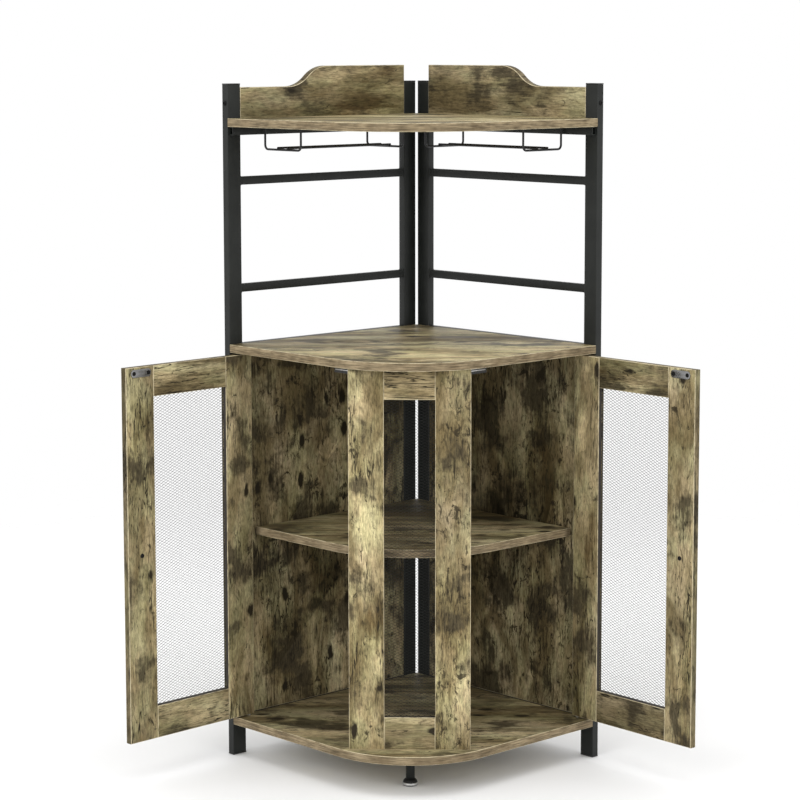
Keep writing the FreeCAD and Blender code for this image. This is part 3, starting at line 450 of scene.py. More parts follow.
def weathered_laminate(name, turn, seed, every_way=False, shade=1.0, stained=0.0, run=1.0, knotty=0.3):
    """Weathered wood with its grain along one direction, or along every level direction."""
    finish, tree, shader, place = new_finish(name, 0.5, specular=WOOD_SPECULAR)
    grain = Grain(tree, place, turn, seed, run, every_way)
    streaks = grain.layer(0.08, 200, 4, 0.6)
    brush = maths(tree, "SUBTRACT", streaks, 0.5)
    clouds = frayed(tree, grain.layer(0.5, 17, 5, 0.56, 0.8), brush, 0.18)
    colour = plank_strips(tree, grain, ground(tree, grain, brush))
    colour = stains(tree, grain, brush, clouds, colour, stained)
    colour = fine_grain(tree, grain, streaks, colour)
    colour = ink_marks(tree, grain, brush, colour, stained)
    long_cracks = cracks(tree, grain, scale=36, width=0.0095, low=0.47, high=0.53)
    short_cracks = cracks(tree, grain, scale=70, width=0.014, low=0.50, high=0.56)
    crack = maths(tree, "MAXIMUM", long_cracks, short_cracks)
    colour = mix(tree, crack, colour, INK)
    colour = mix(tree, knots(tree, grain, knotty), colour, INK)
    colour = mix(tree, 1.0, colour, grey(shade), "MULTIPLY")
    tree.links.new(colour, shader.inputs["Base Color"])
    drive(tree, shader, "Roughness", clouds, [(0.4, grey(0.46)), (0.65, grey(0.6))])
    add_bump(tree, shader, maths(tree, "SUBTRACT", streaks, crack), 0.25, 0.0004)
    return finish


wood_upright = weathered_laminate("weathered_upright", UPRIGHT, 0.0, shade=1.26, stained=0.012, run=0.75)
wood_left_stile = weathered_laminate(
    "weathered_left_stile", UPRIGHT, 31.4, shade=1.45, stained=0.015, run=0.75
)
wood_right_stile = weathered_laminate(
    "weathered_right_stile", UPRIGHT, 47.3, shade=1.4, stained=0.05, run=0.75
)
# The insides' darker shade is partly painted shade of the cupboard; their stains and knots are print.
wood_left_inside_shaded = weathered_laminate(
    "weathered_left_inside_shaded", UPRIGHT, 16.4, shade=1.15, stained=0.055, run=0.8, knotty=0.5
)
wood_right_inside_shaded = weathered_laminate(
    "weathered_right_inside_shaded", UPRIGHT, 43.9, shade=1.05, stained=0.06, run=0.8, knotty=0.25
)
wood_across = weathered_laminate("weathered_across", rail_turn(0), 3.1, shade=1.15, stained=0.015, run=0.5)
wood_counter = weathered_laminate("weathered_counter", rail_turn(0), 34.2, shade=1.4, stained=0.005, run=0.5)
wood_low = weathered_laminate("weathered_low", rail_turn(0), 22.7, shade=1.05, stained=0.02, run=0.6)
wood_panel_rail = weathered_laminate(
    "weathered_panel_rail", rail_turn(0), 24.6, shade=1.4, stained=0.02, run=0.5
)
wood_left_wall = weathered_laminate("weathered_left_wall", rail_turn(WALL_TURN), 5.3, run=0.6)
wood_right_wall = weathered_laminate("weathered_right_wall", rail_turn(-WALL_TURN), 7.7, run=0.6)
wood_left_rail = weathered_laminate(
    "weathered_left_rail", rail_turn(DOOR_TURN), 9.2, shade=0.92, stained=0.015, run=0.6
)
wood_right_rail = weathered_laminate(
    "weathered_right_rail", rail_turn(-DOOR_TURN), 12.6, shade=0.92, stained=0.02, run=0.6
)
upright_band = weathered_laminate("weathered_upright_band", UPRIGHT, 18.8, shade=0.56, run=0.6)
rail_band = weathered_laminate(
    "weathered_rail_band", rail_turn(0), 27.1, every_way=True, shade=0.5, run=0.6
)
print("wood prints for each direction of the grain, and two for the upright boards' edges")

# %% [markdown]
# ## Arrises, edge bands and shaded cuts
#
# Where the print folds over an arris it has worn to a cream line. That line is a narrow bevel with a finish
# of its own, so it catches the light as the real one does. The lying boards have a brown edge band with fine
# lines along the edge. The walls of the mesh openings are almost black: partly a dark raw cut, and partly
# painted shade of the narrow recess between the board's face and the mesh.

# %% Arris, edge band and shaded cut
worn_arris, tree, shader, place = new_finish("worn_arris", 0.6)
rubbed = noise(tree, place, 60, 4, 0.6)
worn_to_cream = [(0.35, (0.24, 0.19, 0.11)), (0.5, (0.46, 0.39, 0.245)), (0.7, (0.58, 0.50, 0.33))]
drive(tree, shader, "Base Color", rubbed, worn_to_cream)

edge_band, tree, shader, place = new_finish("edge_band", 0.55, specular=WOOD_SPECULAR)
band_grain = noise(tree, stretched(tree, place, (0.05, 0.05, 1)), 620, 3, 0.6)
band_browns = [(0.35, (0.205, 0.154, 0.089)), (0.65, (0.35, 0.275, 0.168))]
band_tone = ramp(tree, noise(tree, place, 24, 4, 0.6), band_browns)
band_colour = shaded(tree, band_tone, band_grain, low=0.38, high=0.6, dark=0.35, amount=0.9)
tree.links.new(band_colour, shader.inputs["Base Color"])
add_bump(tree, shader, band_grain, 0.2, 0.0003)

# Almost black for the opening walls: partly a dark raw cut, partly painted shade of the recess by the mesh.
raw_cut_and_shade, tree, shader, place = new_finish("raw_cut_and_shade", 0.8)
dark_speckle = noise(tree, place, 700, 3, 0.7)
drive(tree, shader, "Base Color", dark_speckle, [(0.3, (0.010, 0.008, 0.006)), (0.7, (0.045, 0.034, 0.023))])
add_bump(tree, shader, dark_speckle, 0.3, 0.0004)
print("finishes for arrises, edge bands and raw cuts")

# %% [markdown]
# ## Shaping a board
#
# A board is a merged copy of its CAD piece, so its grooves and holes stay. Its arrises are the sharp edges
# that lie on its two broad faces; drilled holes have much shorter edges and are left out. One bevel of two
# segments rounds them. The new faces take the worn finish, and the faces round the rim take the edge bands.

# %% Board helpers
ARRIS = 0.0009
LONG_EDGE = 0.003
ON_FACE = 1e-5
SHARP = math.radians(30)
FACES_MESH = 0.99
ON_RIM = 0.5
END_FACE = 0.7
PRINT, WORN, CUT_AND_SHADE, BAND, SECOND_BAND = range(5)


def round_edges(bm, edges, radius, segments):
    """Bevels edges and gives the new faces."""
    rounded = bmesh.ops.bevel(
        bm, geom=edges, offset=radius, affect="EDGES", segments=segments, profile=0.5, material=-1
    )
    return rounded["faces"]


def broad_face_arrises(bm, thin):
    """Sharp edges that lie on one of the two broad faces."""
    low, high = reach(bm)
    found = []
    for edge in bm.edges:
        if not edge.is_manifold or edge.calc_length() < LONG_EDGE or edge.calc_face_angle() < SHARP:
            continue
        heights = [v.co[thin] for v in edge.verts]
        for level in (low[thin], high[thin]):
            if all(abs(height - level) < ON_FACE for height in heights):
                found.append(edge)
    return found


def darken_opening_wall(bm, node, mesh_node):
    """Gives the face towards the mesh the almost black finish, which is partly painted shade."""
    axis = X if "stile" in node else Z
    low, high = reach(bm)
    mesh_low, mesh_high = node_reach(mesh_node)
    towards = 1 if mesh_low[axis] + mesh_high[axis] > low[axis] + high[axis] else -1
    for face in bm.faces:
        if face.normal[axis] * towards > FACES_MESH:
            face.material_index = CUT_AND_SHADE


def board(node, finish, thin=Y, mesh_node=None):
    """A wood board with worn arrises in place of its CAD piece."""
    turn = board_turn(node)
    bm = turned_mesh(node, turn)
    if mesh_node:
        darken_opening_wall(bm, node, mesh_node)
    for face in bm.faces:
        if abs(face.normal[thin]) < ON_RIM and face.material_index == PRINT:
            face.material_index = BAND if thin == Z or abs(face.normal.x) > END_FACE else SECOND_BAND
    for face in round_edges(bm, broad_face_arrises(bm, thin), ARRIS, 2):
        face.material_index = WORN
    turn_level(bm, turn)
    bands = [edge_band] if thin == Z else [upright_band, rail_band]
    finishes = [finish, worn_arris, raw_cut_and_shade, *bands]
    return add_piece(f"{node}_board", bm, finishes, body_of[node], [node])


print(f"arrises of {ARRIS * 1000:.1f} mm")

# %% [markdown]
# ## The boards
#
# The grain runs across the lying boards and the rails, and up the stiles and side panels. Each door's rails
# lie at that door's angle, so left and right have prints of their own.

# %% Boards
lying_woods = (
    ("top_shelf", wood_across), ("counter_top", wood_counter),
    ("inner_shelf", wood_across), ("bottom_board", wood_low),
)
panel_woods = (
    ("panel_left_stile", wood_left_stile), ("panel_right_stile", wood_right_stile),
    ("panel_top_rail", wood_panel_rail), ("panel_bottom_rail", wood_panel_rail),
)
side_woods = (
    ("left", wood_left_inside_shaded, wood_left_wall, wood_left_rail),
    ("right", wood_right_inside_shaded, wood_right_wall, wood_right_rail),
)
made = [board(node, wood, thin=Z) for node, wood in lying_woods]
made += [board(node, wood, mesh_node="panel_mesh") for node, wood in panel_woods]
for side, shaded_inside_wood, wall_wood, rail_wood in side_woods:
    made.append(board(f"{side}_side_panel", shaded_inside_wood))
    made.append(board(f"{side}_backboard", wall_wood))
    door_mesh = f"{side}_door_mesh"
    for member in ("hinge_stile", "free_stile"):
        made.append(board(f"{side}_door_{member}", wood_upright, mesh_node=door_mesh))
    for member in ("top_rail", "bottom_rail"):
        made.append(board(f"{side}_door_{member}", rail_wood, mesh_node=door_mesh))
print(f"{len(made)} boards with worn arrises")

# %% [markdown]
# ## Steel
#
# The posts and rails are square-cornered tube with a satin black powder coat. Powder melts to a skin with a
# faint orange-peel, which is a fine noise in the bump. The tube's corners have a small radius that carries a
# long highlight, so they are bevelled and not left sharp.

# %% Powder coat and rounded tube
TUBE_CORNER = 0.0014
LONG_CORNER = 0.03
STEEL_KINDS = (
    "front_post", "back_post", "upper_rail", "lower_rail", "counter_rail", "bottom_rail", "shelf_ledge",
)


def coated_metal(name, low, high, roughness, peel_scale, peel, specular=0.3):
    """Dark paint on metal, with a faint orange-peel and a little dust."""
    finish, tree, shader, place = new_finish(name, roughness, specular=specular)
    dust = noise(tree, place, 22, 4, 0.6)
    drive(tree, shader, "Base Color", dust, [(0.35, low), (0.7, high)])
    skin = noise(tree, place, peel_scale, 2)
    drive(tree, shader, "Roughness", skin, [(0.3, grey(roughness - 0.05)), (0.7, grey(roughness + 0.07))])
    add_bump(tree, shader, skin, peel, 0.0003)
    return finish


def tube_corners(bm):
    """The long edges on the outside of a tube, which lie on two of its outer faces at once."""
    low, high = reach(bm)
    found = []
    for edge in bm.edges:
        if edge.calc_length() < LONG_CORNER:
            continue
        on_faces = 0
        for axis in (X, Y, Z):
            for level in (low[axis], high[axis]):
                on_faces += all(abs(v.co[axis] - level) < ON_FACE for v in edge.verts)
        if on_faces == 2:
            found.append(edge)
    return found


powder_coat = coated_metal(
    "black_powder_coat", (0.0075, 0.0087, 0.0075), (0.013, 0.0148, 0.013), 0.42, peel_scale=900, peel=0.12
)
tubes = []
for side in ("left", "right"):
    for kind in STEEL_KINDS:
        node = f"{side}_{kind}"
        turn = board_turn(node)
        bm = turned_mesh(node, turn)
        round_edges(bm, tube_corners(bm), TUBE_CORNER, 3)
        turn_level(bm, turn)
        tubes.append(add_piece(f"{node}_tube", bm, [powder_coat], "cabinet", [node]))
print(f"{len(tubes)} steel tubes")

# %% [markdown]
# ## Expanded metal
#
# The doors and the front panel hold expanded metal: a sheet slit in rows and pulled open into diamonds about
# 10 by 5 mm. Thousands of bars could be placed one by one, but a grid turned by 45 degrees already is a net
# of diamonds. Squeezing it gives the diamonds their proportions, cutting it to the groove's outline gives the
# sheet, an inset of every face leaves the strands, and solidify gives them thickness.

# %% Expanded metal
DIAMOND_WIDE = 0.0104
DIAMOND_TALL = 0.0052
STRAND = 0.0004
SHEET_THICK = 0.0005
SHEET_PLAY = 0.0002
mesh_paint = coated_metal(
    "mesh_paint", (0.010, 0.0105, 0.010), (0.018, 0.019, 0.018), 0.4, peel_scale=1200, peel=0.05
)


def net_of_diamonds(wide, tall):
    """A flat net of diamonds, cut to a width along X and a height along Y."""
    across = math.sqrt(2) * wide / DIAMOND_WIDE
    upwards = math.sqrt(2) * tall / DIAMOND_TALL
    cells = 2 * math.ceil((across + upwards) / math.sqrt(2) / 2 + 1)
    bm = bmesh.new()
    bmesh.ops.create_grid(bm, x_segments=cells, y_segments=cells, size=cells / 2)
    turn_level(bm, math.radians(45))
    squeeze = (DIAMOND_WIDE / math.sqrt(2), DIAMOND_TALL / math.sqrt(2), 1)
    bmesh.ops.scale(bm, verts=bm.verts[:], vec=squeeze)
    sides = (((1, 0, 0), wide), ((-1, 0, 0), wide), ((0, 1, 0), tall), ((0, -1, 0), tall))
    for direction, distance in sides:
        cut = Vector(direction) * (distance / 2 - SHEET_PLAY)
        everything = bm.verts[:] + bm.edges[:] + bm.faces[:]
        bmesh.ops.bisect_plane(bm, geom=everything, plane_co=cut, plane_no=direction, clear_outer=True)
    return bm


def expanded_metal(node):
    """A sheet of diamonds in the groove where the CAD sheet sits."""
    low, high = node_reach(node)
    middle = (low + high) / 2
    bm = net_of_diamonds(high.x - low.x, high.z - low.z)
    strands = bmesh.ops.inset_individual(bm, faces=bm.faces[:], thickness=STRAND / 2, use_even_offset=True)
    kept = set(strands["faces"])
    bmesh.ops.delete(bm, geom=[face for face in bm.faces if face not in kept], context="FACES")
    bmesh.ops.solidify(bm, geom=bm.faces[:], thickness=SHEET_THICK)
    bmesh.ops.recalc_face_normals(bm, faces=bm.faces[:])
    upright = Matrix.Rotation(math.radians(90), 3, "X")
    bmesh.ops.rotate(bm, verts=bm.verts[:], cent=(0, 0, 0), matrix=upright)
    sheet_low, sheet_high = reach(bm)
    bmesh.ops.translate(bm, verts=bm.verts[:], vec=middle - (sheet_low + sheet_high) / 2)
    turn_level(bm, board_turn(node))
    print(f"{node}: {len(bm.faces)} faces")
    add_piece(f"{node}_diamonds", bm, [mesh_paint], body_of[node], [node])


for node in ("left_door_mesh", "right_door_mesh", "panel_mesh"):
    expanded_metal(node)

# %% [markdown]
# ## Bending wire
#
# Each hanging rack is bent from black wire: two hangers shaped like a U under the top shelf, and two long
# wires welded across them with a slot between. A curve with a bevel would do, but a hanger can also grow from
# one small circle: it is extruded down, spun round the bend, extruded across, spun again and extruded up, as
# a wire bender would feed it.

# %% Bent and straight wire
WIRE = 0.004
BEND = 0.008
BEND_STEPS = 7
WIRE_SIDES = 12
WIRE_END = WIRE * 0.3
RIM_ANGLE = math.radians(60)
QUARTER = math.radians(90)


def feed_straight(bm, loop, move):
    """Extrudes a loop of edges along a straight run and gives the new loop."""
    grown = bmesh.ops.extrude_edge_only(bm, edges=loop)["geom"]
    spots = [part for part in grown if isinstance(part, bmesh.types.BMVert)]
    bmesh.ops.translate(bm, verts=spots, vec=move)
    return [part for part in grown if isinstance(part, bmesh.types.BMEdge) and len(part.link_faces) == 1]


def feed_bend(bm, loop, centre):
    """Spins a loop of edges a quarter turn about X and gives the new loop."""
    spun = bmesh.ops.spin(bm, geom=loop, cent=centre, axis=(1, 0, 0), angle=QUARTER, steps=BEND_STEPS)
    return [part for part in spun["geom_last"] if isinstance(part, bmesh.types.BMEdge)]


def hanger(x, near, far, low, top):
    """One U of wire in the plane at x."""
    bm = bmesh.new()
    bmesh.ops.create_circle(bm, segments=WIRE_SIDES, radius=WIRE / 2)
    bmesh.ops.translate(bm, verts=bm.verts[:], vec=(x, near, top))
    loop = feed_straight(bm, bm.edges[:], (0, 0, low + BEND - top))
    loop = feed_bend(bm, loop, (x, near + BEND, low + BEND))
    loop = feed_straight(bm, loop, (0, far - near - 2 * BEND, 0))
    loop = feed_bend(bm, loop, (x, far - BEND, low + BEND))
    feed_straight(bm, loop, (0, 0, top - low - BEND))
    bmesh.ops.remove_doubles(bm, verts=bm.verts[:], dist=SAME_SPOT)
    open_ends = [edge for edge in bm.edges if edge.is_boundary]
    bmesh.ops.holes_fill(bm, edges=open_ends, sides=WIRE_SIDES)
    return bm


def long_wire(start, end):
    """A straight wire with rounded ends along X."""
    bm = bmesh.new()
    lie_down = Matrix.Translation((start + end) / 2) @ Matrix.Rotation(QUARTER, 4, "Y")
    bmesh.ops.create_cone(
        bm, cap_ends=True, segments=WIRE_SIDES, radius1=WIRE / 2, radius2=WIRE / 2,
        depth=end.x - start.x, matrix=lie_down,
    )
    rims = [edge for edge in bm.edges if edge.calc_face_angle() > RIM_ANGLE]
    round_edges(bm, rims, WIRE_END, 3)
    return bm


print(f"wire of {WIRE * 1000:.0f} mm")

# %% [markdown]
# ## Hanging racks
#
# The rack's reach in the CAD frame says where its hangers and long wires go. The long wires lie on the
# hangers and sink into them a little, as a weld lets them. All wires of a rack are then one mesh.

# %% Hanging racks
RACK_SLOT = 0.026
WELD_SINK = 0.0008
wire_coat = coated_metal(
    "wire_coat", (0.013, 0.013, 0.014), (0.022, 0.022, 0.023), 0.35, peel_scale=1500, peel=0.04
)


def joined(parts):
    """Several bmeshes as one."""
    whole = bmesh.new()
    for part in parts:
        carrier = bpy.data.meshes.new("carrier")
        part.to_mesh(carrier)
        whole.from_mesh(carrier)
        part.free()
        bpy.data.meshes.remove(carrier)
    return whole


rack_low, rack_high = node_reach("left_glass_rack")
near = rack_low.y + WIRE / 2
far = rack_high.y - WIRE / 2
hanger_height = rack_low.z + WIRE / 2
wires = []
for x in (rack_low.x + WIRE / 2, rack_high.x - WIRE / 2):
    wires.append(hanger(x, near, far, hanger_height, rack_high.z))
slot_middle = (near + far) / 2
height = hanger_height + WIRE - WELD_SINK
for y in (slot_middle - RACK_SLOT / 2, slot_middle + RACK_SLOT / 2):
    wires.append(long_wire(Vector((rack_low.x, y, height)), Vector((rack_high.x, y, height))))
print(f"two racks of {len(wires)} wires each")
rack = joined(wires)
bmesh.ops.recalc_face_normals(rack, faces=rack.faces[:])
turn_level(rack, WALL_TURN)
add_pair("rack_wires", rack, [wire_coat], CABINET_PAIR, "glass_rack")

# %% [markdown]
# ## A lathe
#
# The knobs, screws, bolts, leg and levelling foot are all turned, so a few points of the outline spun round
# an axis give the whole form. Every outline starts and ends on the axis, the spin closes on itself, and the
# points that meet on the axis are merged, so the form is closed.

# %% Lathe
LATHE_STEPS = 40
TURNED_SMOOTH = 50


def lathe(outline, steps=LATHE_STEPS):
    """Spins an outline of radius and height, in millimetres, round Z."""
    bm = bmesh.new()
    spots = [bm.verts.new((radius / 1000, 0, height / 1000)) for radius, height in outline]
    lines = [bm.edges.new(pair) for pair in zip(spots, spots[1:])]
    bmesh.ops.spin(
        bm, geom=spots + lines, cent=(0, 0, 0), axis=(0, 0, 1), angle=math.tau, steps=steps, use_merge=True
    )
    bmesh.ops.remove_doubles(bm, verts=bm.verts[:], dist=SAME_SPOT)
    bmesh.ops.recalc_face_normals(bm, faces=bm.faces[:])
    return bm


def stand(bm, spot, axis, turn):
    """Lays a lathed piece along an axis of a turned board, moves it there and turns the board back."""
    aim = Vector((0, 0, 1)).rotation_difference(Vector(axis)).to_matrix()
    bmesh.ops.rotate(bm, verts=bm.verts[:], cent=(0, 0, 0), matrix=aim)
    bmesh.ops.translate(bm, verts=bm.verts[:], vec=spot)
    turn_level(bm, turn)
    return bm


print(f"a lathe of {LATHE_STEPS} steps")

# %% [markdown]
# ## Knobs, screws and bolts
#
# A mushroom knob sits outside each door, and the pan head of its screw shows inside. The backboards are held
# by bolts with button heads through the front posts. Each head has a small recess, which reads as a darker
# dot from a distance.

# %% Knobs, screws and bolts
SCREW_STEPS = 28
KNOB_OUTLINE = [
    (0, 0), (7, 0), (7.4, 0.5), (7.2, 1.4), (5.8, 2.4), (5.4, 6), (5.9, 9.5), (8.2, 12.2), (10.9, 13.6),
    (11.8, 14.8), (12, 16.4), (11.8, 18.6), (11, 20.4), (9.4, 21.6), (7, 22), (4, 21.8), (0, 21.6),
]
PAN_HEAD = [
    (0, -9), (1.9, -9), (1.9, 0), (4, 0), (4, 0.5), (3.7, 1.2), (3.0, 1.75), (1.9, 2), (1.5, 1.9), (1.2, 0.9),
    (0, 0.8),
]
BUTTON_HEAD = [
    (0, -6), (2.5, -6), (2.5, 0), (4.5, 0), (4.4, 0.7), (3.9, 1.6), (3.0, 2.2), (1.9, 2.5), (1.7, 2.3),
    (1.6, 0.9), (0, 0.9),
]
knob_metal = coated_metal(
    "knob_satin_black", (0.020, 0.020, 0.021), (0.032, 0.032, 0.033), 0.36, peel_scale=1100, peel=0.05
)
blackened = coated_metal(
    "blackened_screw", (0.004, 0.004, 0.004), (0.012, 0.0115, 0.011), 0.5, peel_scale=1600, peel=0.06,
    specular=0.12,
)

knob_low, knob_high = node_reach("left_knob")
knob_spot = Vector(((knob_low.x + knob_high.x) / 2, knob_low.y, (knob_low.z + knob_high.z) / 2))
knob = stand(lathe(KNOB_OUTLINE), knob_spot, (0, 1, 0), DOOR_TURN)
add_pair("turned_knob", knob, [knob_metal], DOOR_PAIR, "knob", TURNED_SMOOTH)

screw_spot = Vector((knob_spot.x, stile_low.y, knob_spot.z))
screw = stand(lathe(PAN_HEAD, SCREW_STEPS), screw_spot, (0, -1, 0), DOOR_TURN)
add_pair("pan_screw", screw, [blackened], DOOR_PAIR, "knob_screw", TURNED_SMOOTH)

post_low, post_high = node_reach("left_front_post")
bolt_height = sum(corner.z for corner in node_reach("backboard_bolts")) / 2
bolt_spot = Vector((post_low.x, (post_low.y + post_high.y) / 2, bolt_height))
left_bolt = stand(lathe(BUTTON_HEAD, SCREW_STEPS), bolt_spot, (-1, 0, 0), WALL_TURN)
bolts = joined([left_bolt, mirrored_copy(left_bolt)])
add_piece("button_bolts", bolts, [blackened], "cabinet", ["backboard_bolts"], TURNED_SMOOTH)
print("knobs, screws and bolts")

# %% [markdown]
# ## Leg
#
# Under the front of the bottom board stands a short steel leg with a plate. Its outline runs down the bore,
# where the foot's stud slides, round the lower end and up the outside to the plate.

# %% Leg
FOOT_SMOOTH = 40
BORE_TOP = 44.6
LEG_BOTTOM = 12.4
LEG_OUTLINE = [
    (0, BORE_TOP), (4.1, BORE_TOP), (4.1, 13), (4.6, LEG_BOTTOM), (7.5, LEG_BOTTOM), (8, 13), (8, 52.6),
    (8.6, 54.2), (10.4, 55), (21.5, 55), (22, 55.5), (22, 58), (0, 58),
]
foot_low, foot_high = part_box("levelling_foot")
leg_spot = Vector(((foot_low.x + foot_high.x) / 2, (foot_low.y + foot_high.y) / 2, 0))
leg = stand(lathe(LEG_OUTLINE), leg_spot, (0, 0, 1), 0)
add_piece("turned_leg", leg, [powder_coat], "cabinet", ["front_leg"], FOOT_SMOOTH)
print(f"a leg with a bore up to {BORE_TOP} mm")

# %% [markdown]
# ## Levelling foot
#
# A plastic foot on a threaded stud turns in and out of the leg. The thread only shows when the foot is
# screwed out, so plain ridges one pitch apart do for it. The foot has a bright metal rim over a thin black
# sole, which also stands for the contact shadow under the rim as painted shadow.

# %% Foot finishes
foot_plastic, tree, shader, place = new_finish("foot_moulding", 0.45, specular=0.2)
moulded = noise(tree, place, 500, 3)
drive(tree, shader, "Base Color", moulded, [(0.3, grey(0.008)), (0.7, grey(0.016))])
add_bump(tree, shader, moulded, 0.08, 0.0002)

bright_zinc, tree, shader, place = new_finish("bright_zinc", 0.3, metallic=1.0)
brushed = noise(tree, stretched(tree, place, (1, 1, 12)), 260, 3)
drive(tree, shader, "Base Color", brushed, [(0.3, grey(0.52)), (0.7, grey(0.68))])
drive(tree, shader, "Roughness", brushed, [(0.3, grey(0.24)), (0.7, grey(0.4))])

print("moulded plastic and bright zinc")

# %% Levelling foot
FOOT_STEPS = 36
STUD_TOP = 44
PITCH = 1.25
CREST = 3.95
ROOT = 3.5
SOLE_AND_SHADOW_TOP = 0.0014
RIM_TOP = 0.0056
STUD_START = 0.0121
ZINC = 1
FOOT_OUTLINE = [
    (0, 0), (11.8, 0), (12.8, 0.5), (13.2, 1.4), (13.8, 1.7), (14, 2.4), (14, 4.4), (13.7, 5.1), (13.1, 5.6),
    (12.9, 6), (12.6, 7.4), (11.7, 9.2), (10, 10.9), (7.6, 12), (3.7, 12),
]
thread = []
ridge = LEG_BOTTOM
while ridge + PITCH < STUD_TOP:
    thread += [(CREST, ridge), (ROOT, ridge + PITCH / 2)]
    ridge += PITCH
stud_end = [(3.2, STUD_TOP), (0, STUD_TOP)]
foot = stand(lathe(FOOT_OUTLINE + thread + stud_end, FOOT_STEPS), leg_spot, (0, 0, 1), 0)
# The lowest band stays black plastic: a sole that is also painted contact shadow under the rim.
for face in foot.faces:
    height = face.calc_center_median().z
    if SOLE_AND_SHADOW_TOP < height < RIM_TOP or height > STUD_START:
        face.material_index = ZINC
foot_finishes = [foot_plastic, bright_zinc]
add_piece(
    "levelling_foot_turned", foot, foot_finishes, "foot", ["levelling_foot"], FOOT_SMOOTH
)
print(f"a foot with a stud of {len(thread) // 2} ridges")

# %% [markdown]
# ## Plugs and catches
#
# The plugs in the posts and the magnet catches are small moulded pieces whose CAD shape is right. They keep
# it, and only their sharp edges are softened so that they catch a highlight. The pole plates of the catches
# are thinner and smaller than their solids, so each is scaled about its own middle.

# %% Plugs and catches
PLUG_EDGE = 0.0005
CATCH_EDGE = 0.0008
POLE_EDGE = 0.0002
POLE_SCALE = (0.8, 0.8, 0.35)
moulded_black, tree, shader, place = new_finish("moulded_black", 0.5)
drive(tree, shader, "Base Color", noise(tree, place, 30, 3), [(0.3, grey(0.016)), (0.7, grey(0.027))])
add_bump(tree, shader, noise(tree, place, 1400, 3), 0.15, 0.0002)


def sharp_edges(bm):
    """Edges where two faces meet at a clear angle."""
    return [edge for edge in bm.edges if edge.is_manifold and edge.calc_face_angle() > SHARP]


def softened(node, finish, radius):
    """A CAD piece with its sharp edges rounded a little."""
    bm = turned_mesh(node, 0)
    round_edges(bm, sharp_edges(bm), radius, 2)
    add_piece(f"{node}_soft", bm, [finish], body_of[node], [node])


for node in ("post_caps", "post_feet"):
    softened(node, moulded_black, PLUG_EDGE)
for side in ("left", "right"):
    softened(f"{side}_magnet_catch", moulded_black, CATCH_EDGE)

pole_plates = turned_mesh("catch_pole_plates", 0)
for side in (-1, 1):
    corners = [vert for vert in pole_plates.verts if vert.co.x * side > 0]
    middle = sum((vert.co for vert in corners), Vector()) / len(corners)
    bmesh.ops.scale(pole_plates, verts=corners, vec=POLE_SCALE, space=Matrix.Translation(-middle))
round_edges(pole_plates, sharp_edges(pole_plates), POLE_EDGE, 2)
add_piece("thin_pole_plates", pole_plates, [bright_zinc], "cabinet", ["catch_pole_plates"])
print("plugs, catches and pole plates")

# %% [markdown]
# ## Strike plates and pins
#
# A bright plate on each door meets the magnet. A box with its four short edges bevelled gets the round ends,
# and two black screws hold it. The pins are hidden or tiny, so they stay as they are and only get a finish.

# %% Strike plates and pins
PLATE_END = 0.0066
PLATE_RIM = 0.0003
THROUGH_PLATE = 1e-4
SCREW_SPREAD = 0.032
SMALL_SCREW_STEPS = 24
FLAT_HEAD = [
    (0, -6), (1.4, -6), (1.4, -1.2), (3.8, 0), (3.7, 0.4), (2.7, 0.6), (1.5, 0.55), (1.3, 0.15), (0, 0.15),
]
plated, tree, shader, place = new_finish("bright_plate", 0.25, metallic=1.0)
smudge = noise(tree, place, 40, 3, 0.5)
drive(tree, shader, "Base Color", smudge, [(0.3, grey(0.22)), (0.7, grey(0.30))])
drive(tree, shader, "Roughness", smudge, [(0.3, grey(0.24)), (0.7, grey(0.36))])

plate_low, plate_high = node_reach("left_strike_plate")
plate_middle = (plate_low + plate_high) / 2
plate = bmesh.new()
bmesh.ops.create_cube(plate, size=1)
bmesh.ops.scale(plate, verts=plate.verts[:], vec=plate_high - plate_low)
bmesh.ops.translate(plate, verts=plate.verts[:], vec=plate_middle)
through = [edge for edge in plate.edges if abs(edge.verts[0].co.y - edge.verts[1].co.y) > THROUGH_PLATE]
round_edges(plate, through, PLATE_END, 6)
rims = [edge for edge in plate.edges if edge.calc_face_angle() > RIM_ANGLE]
round_edges(plate, rims, PLATE_RIM, 2)
turn_level(plate, DOOR_TURN)
add_pair("strike", plate, [plated], DOOR_PAIR, "strike_plate")

plate_screws = []
for offset in (-SCREW_SPREAD / 2, SCREW_SPREAD / 2):
    spot = Vector((plate_middle.x + offset, plate_low.y, plate_middle.z))
    plate_screws.append(stand(lathe(FLAT_HEAD, SMALL_SCREW_STEPS), spot, (0, -1, 0), DOOR_TURN))
add_pair("strike_screws", joined(plate_screws), [blackened], DOOR_PAIR)

for node in ("shelf_pins", "left_door_pins", "right_door_pins"):
    nodes[node].data.materials.clear()
    nodes[node].data.materials.append(bright_zinc)
print("strike plates with their screws, and zinc pins")

# %% [markdown]
# ## Welds
#
# Each rail of the open bay is welded to its posts all round. The bead is a thin collar with a round section,
# so a slim box with every edge bevelled does for it.

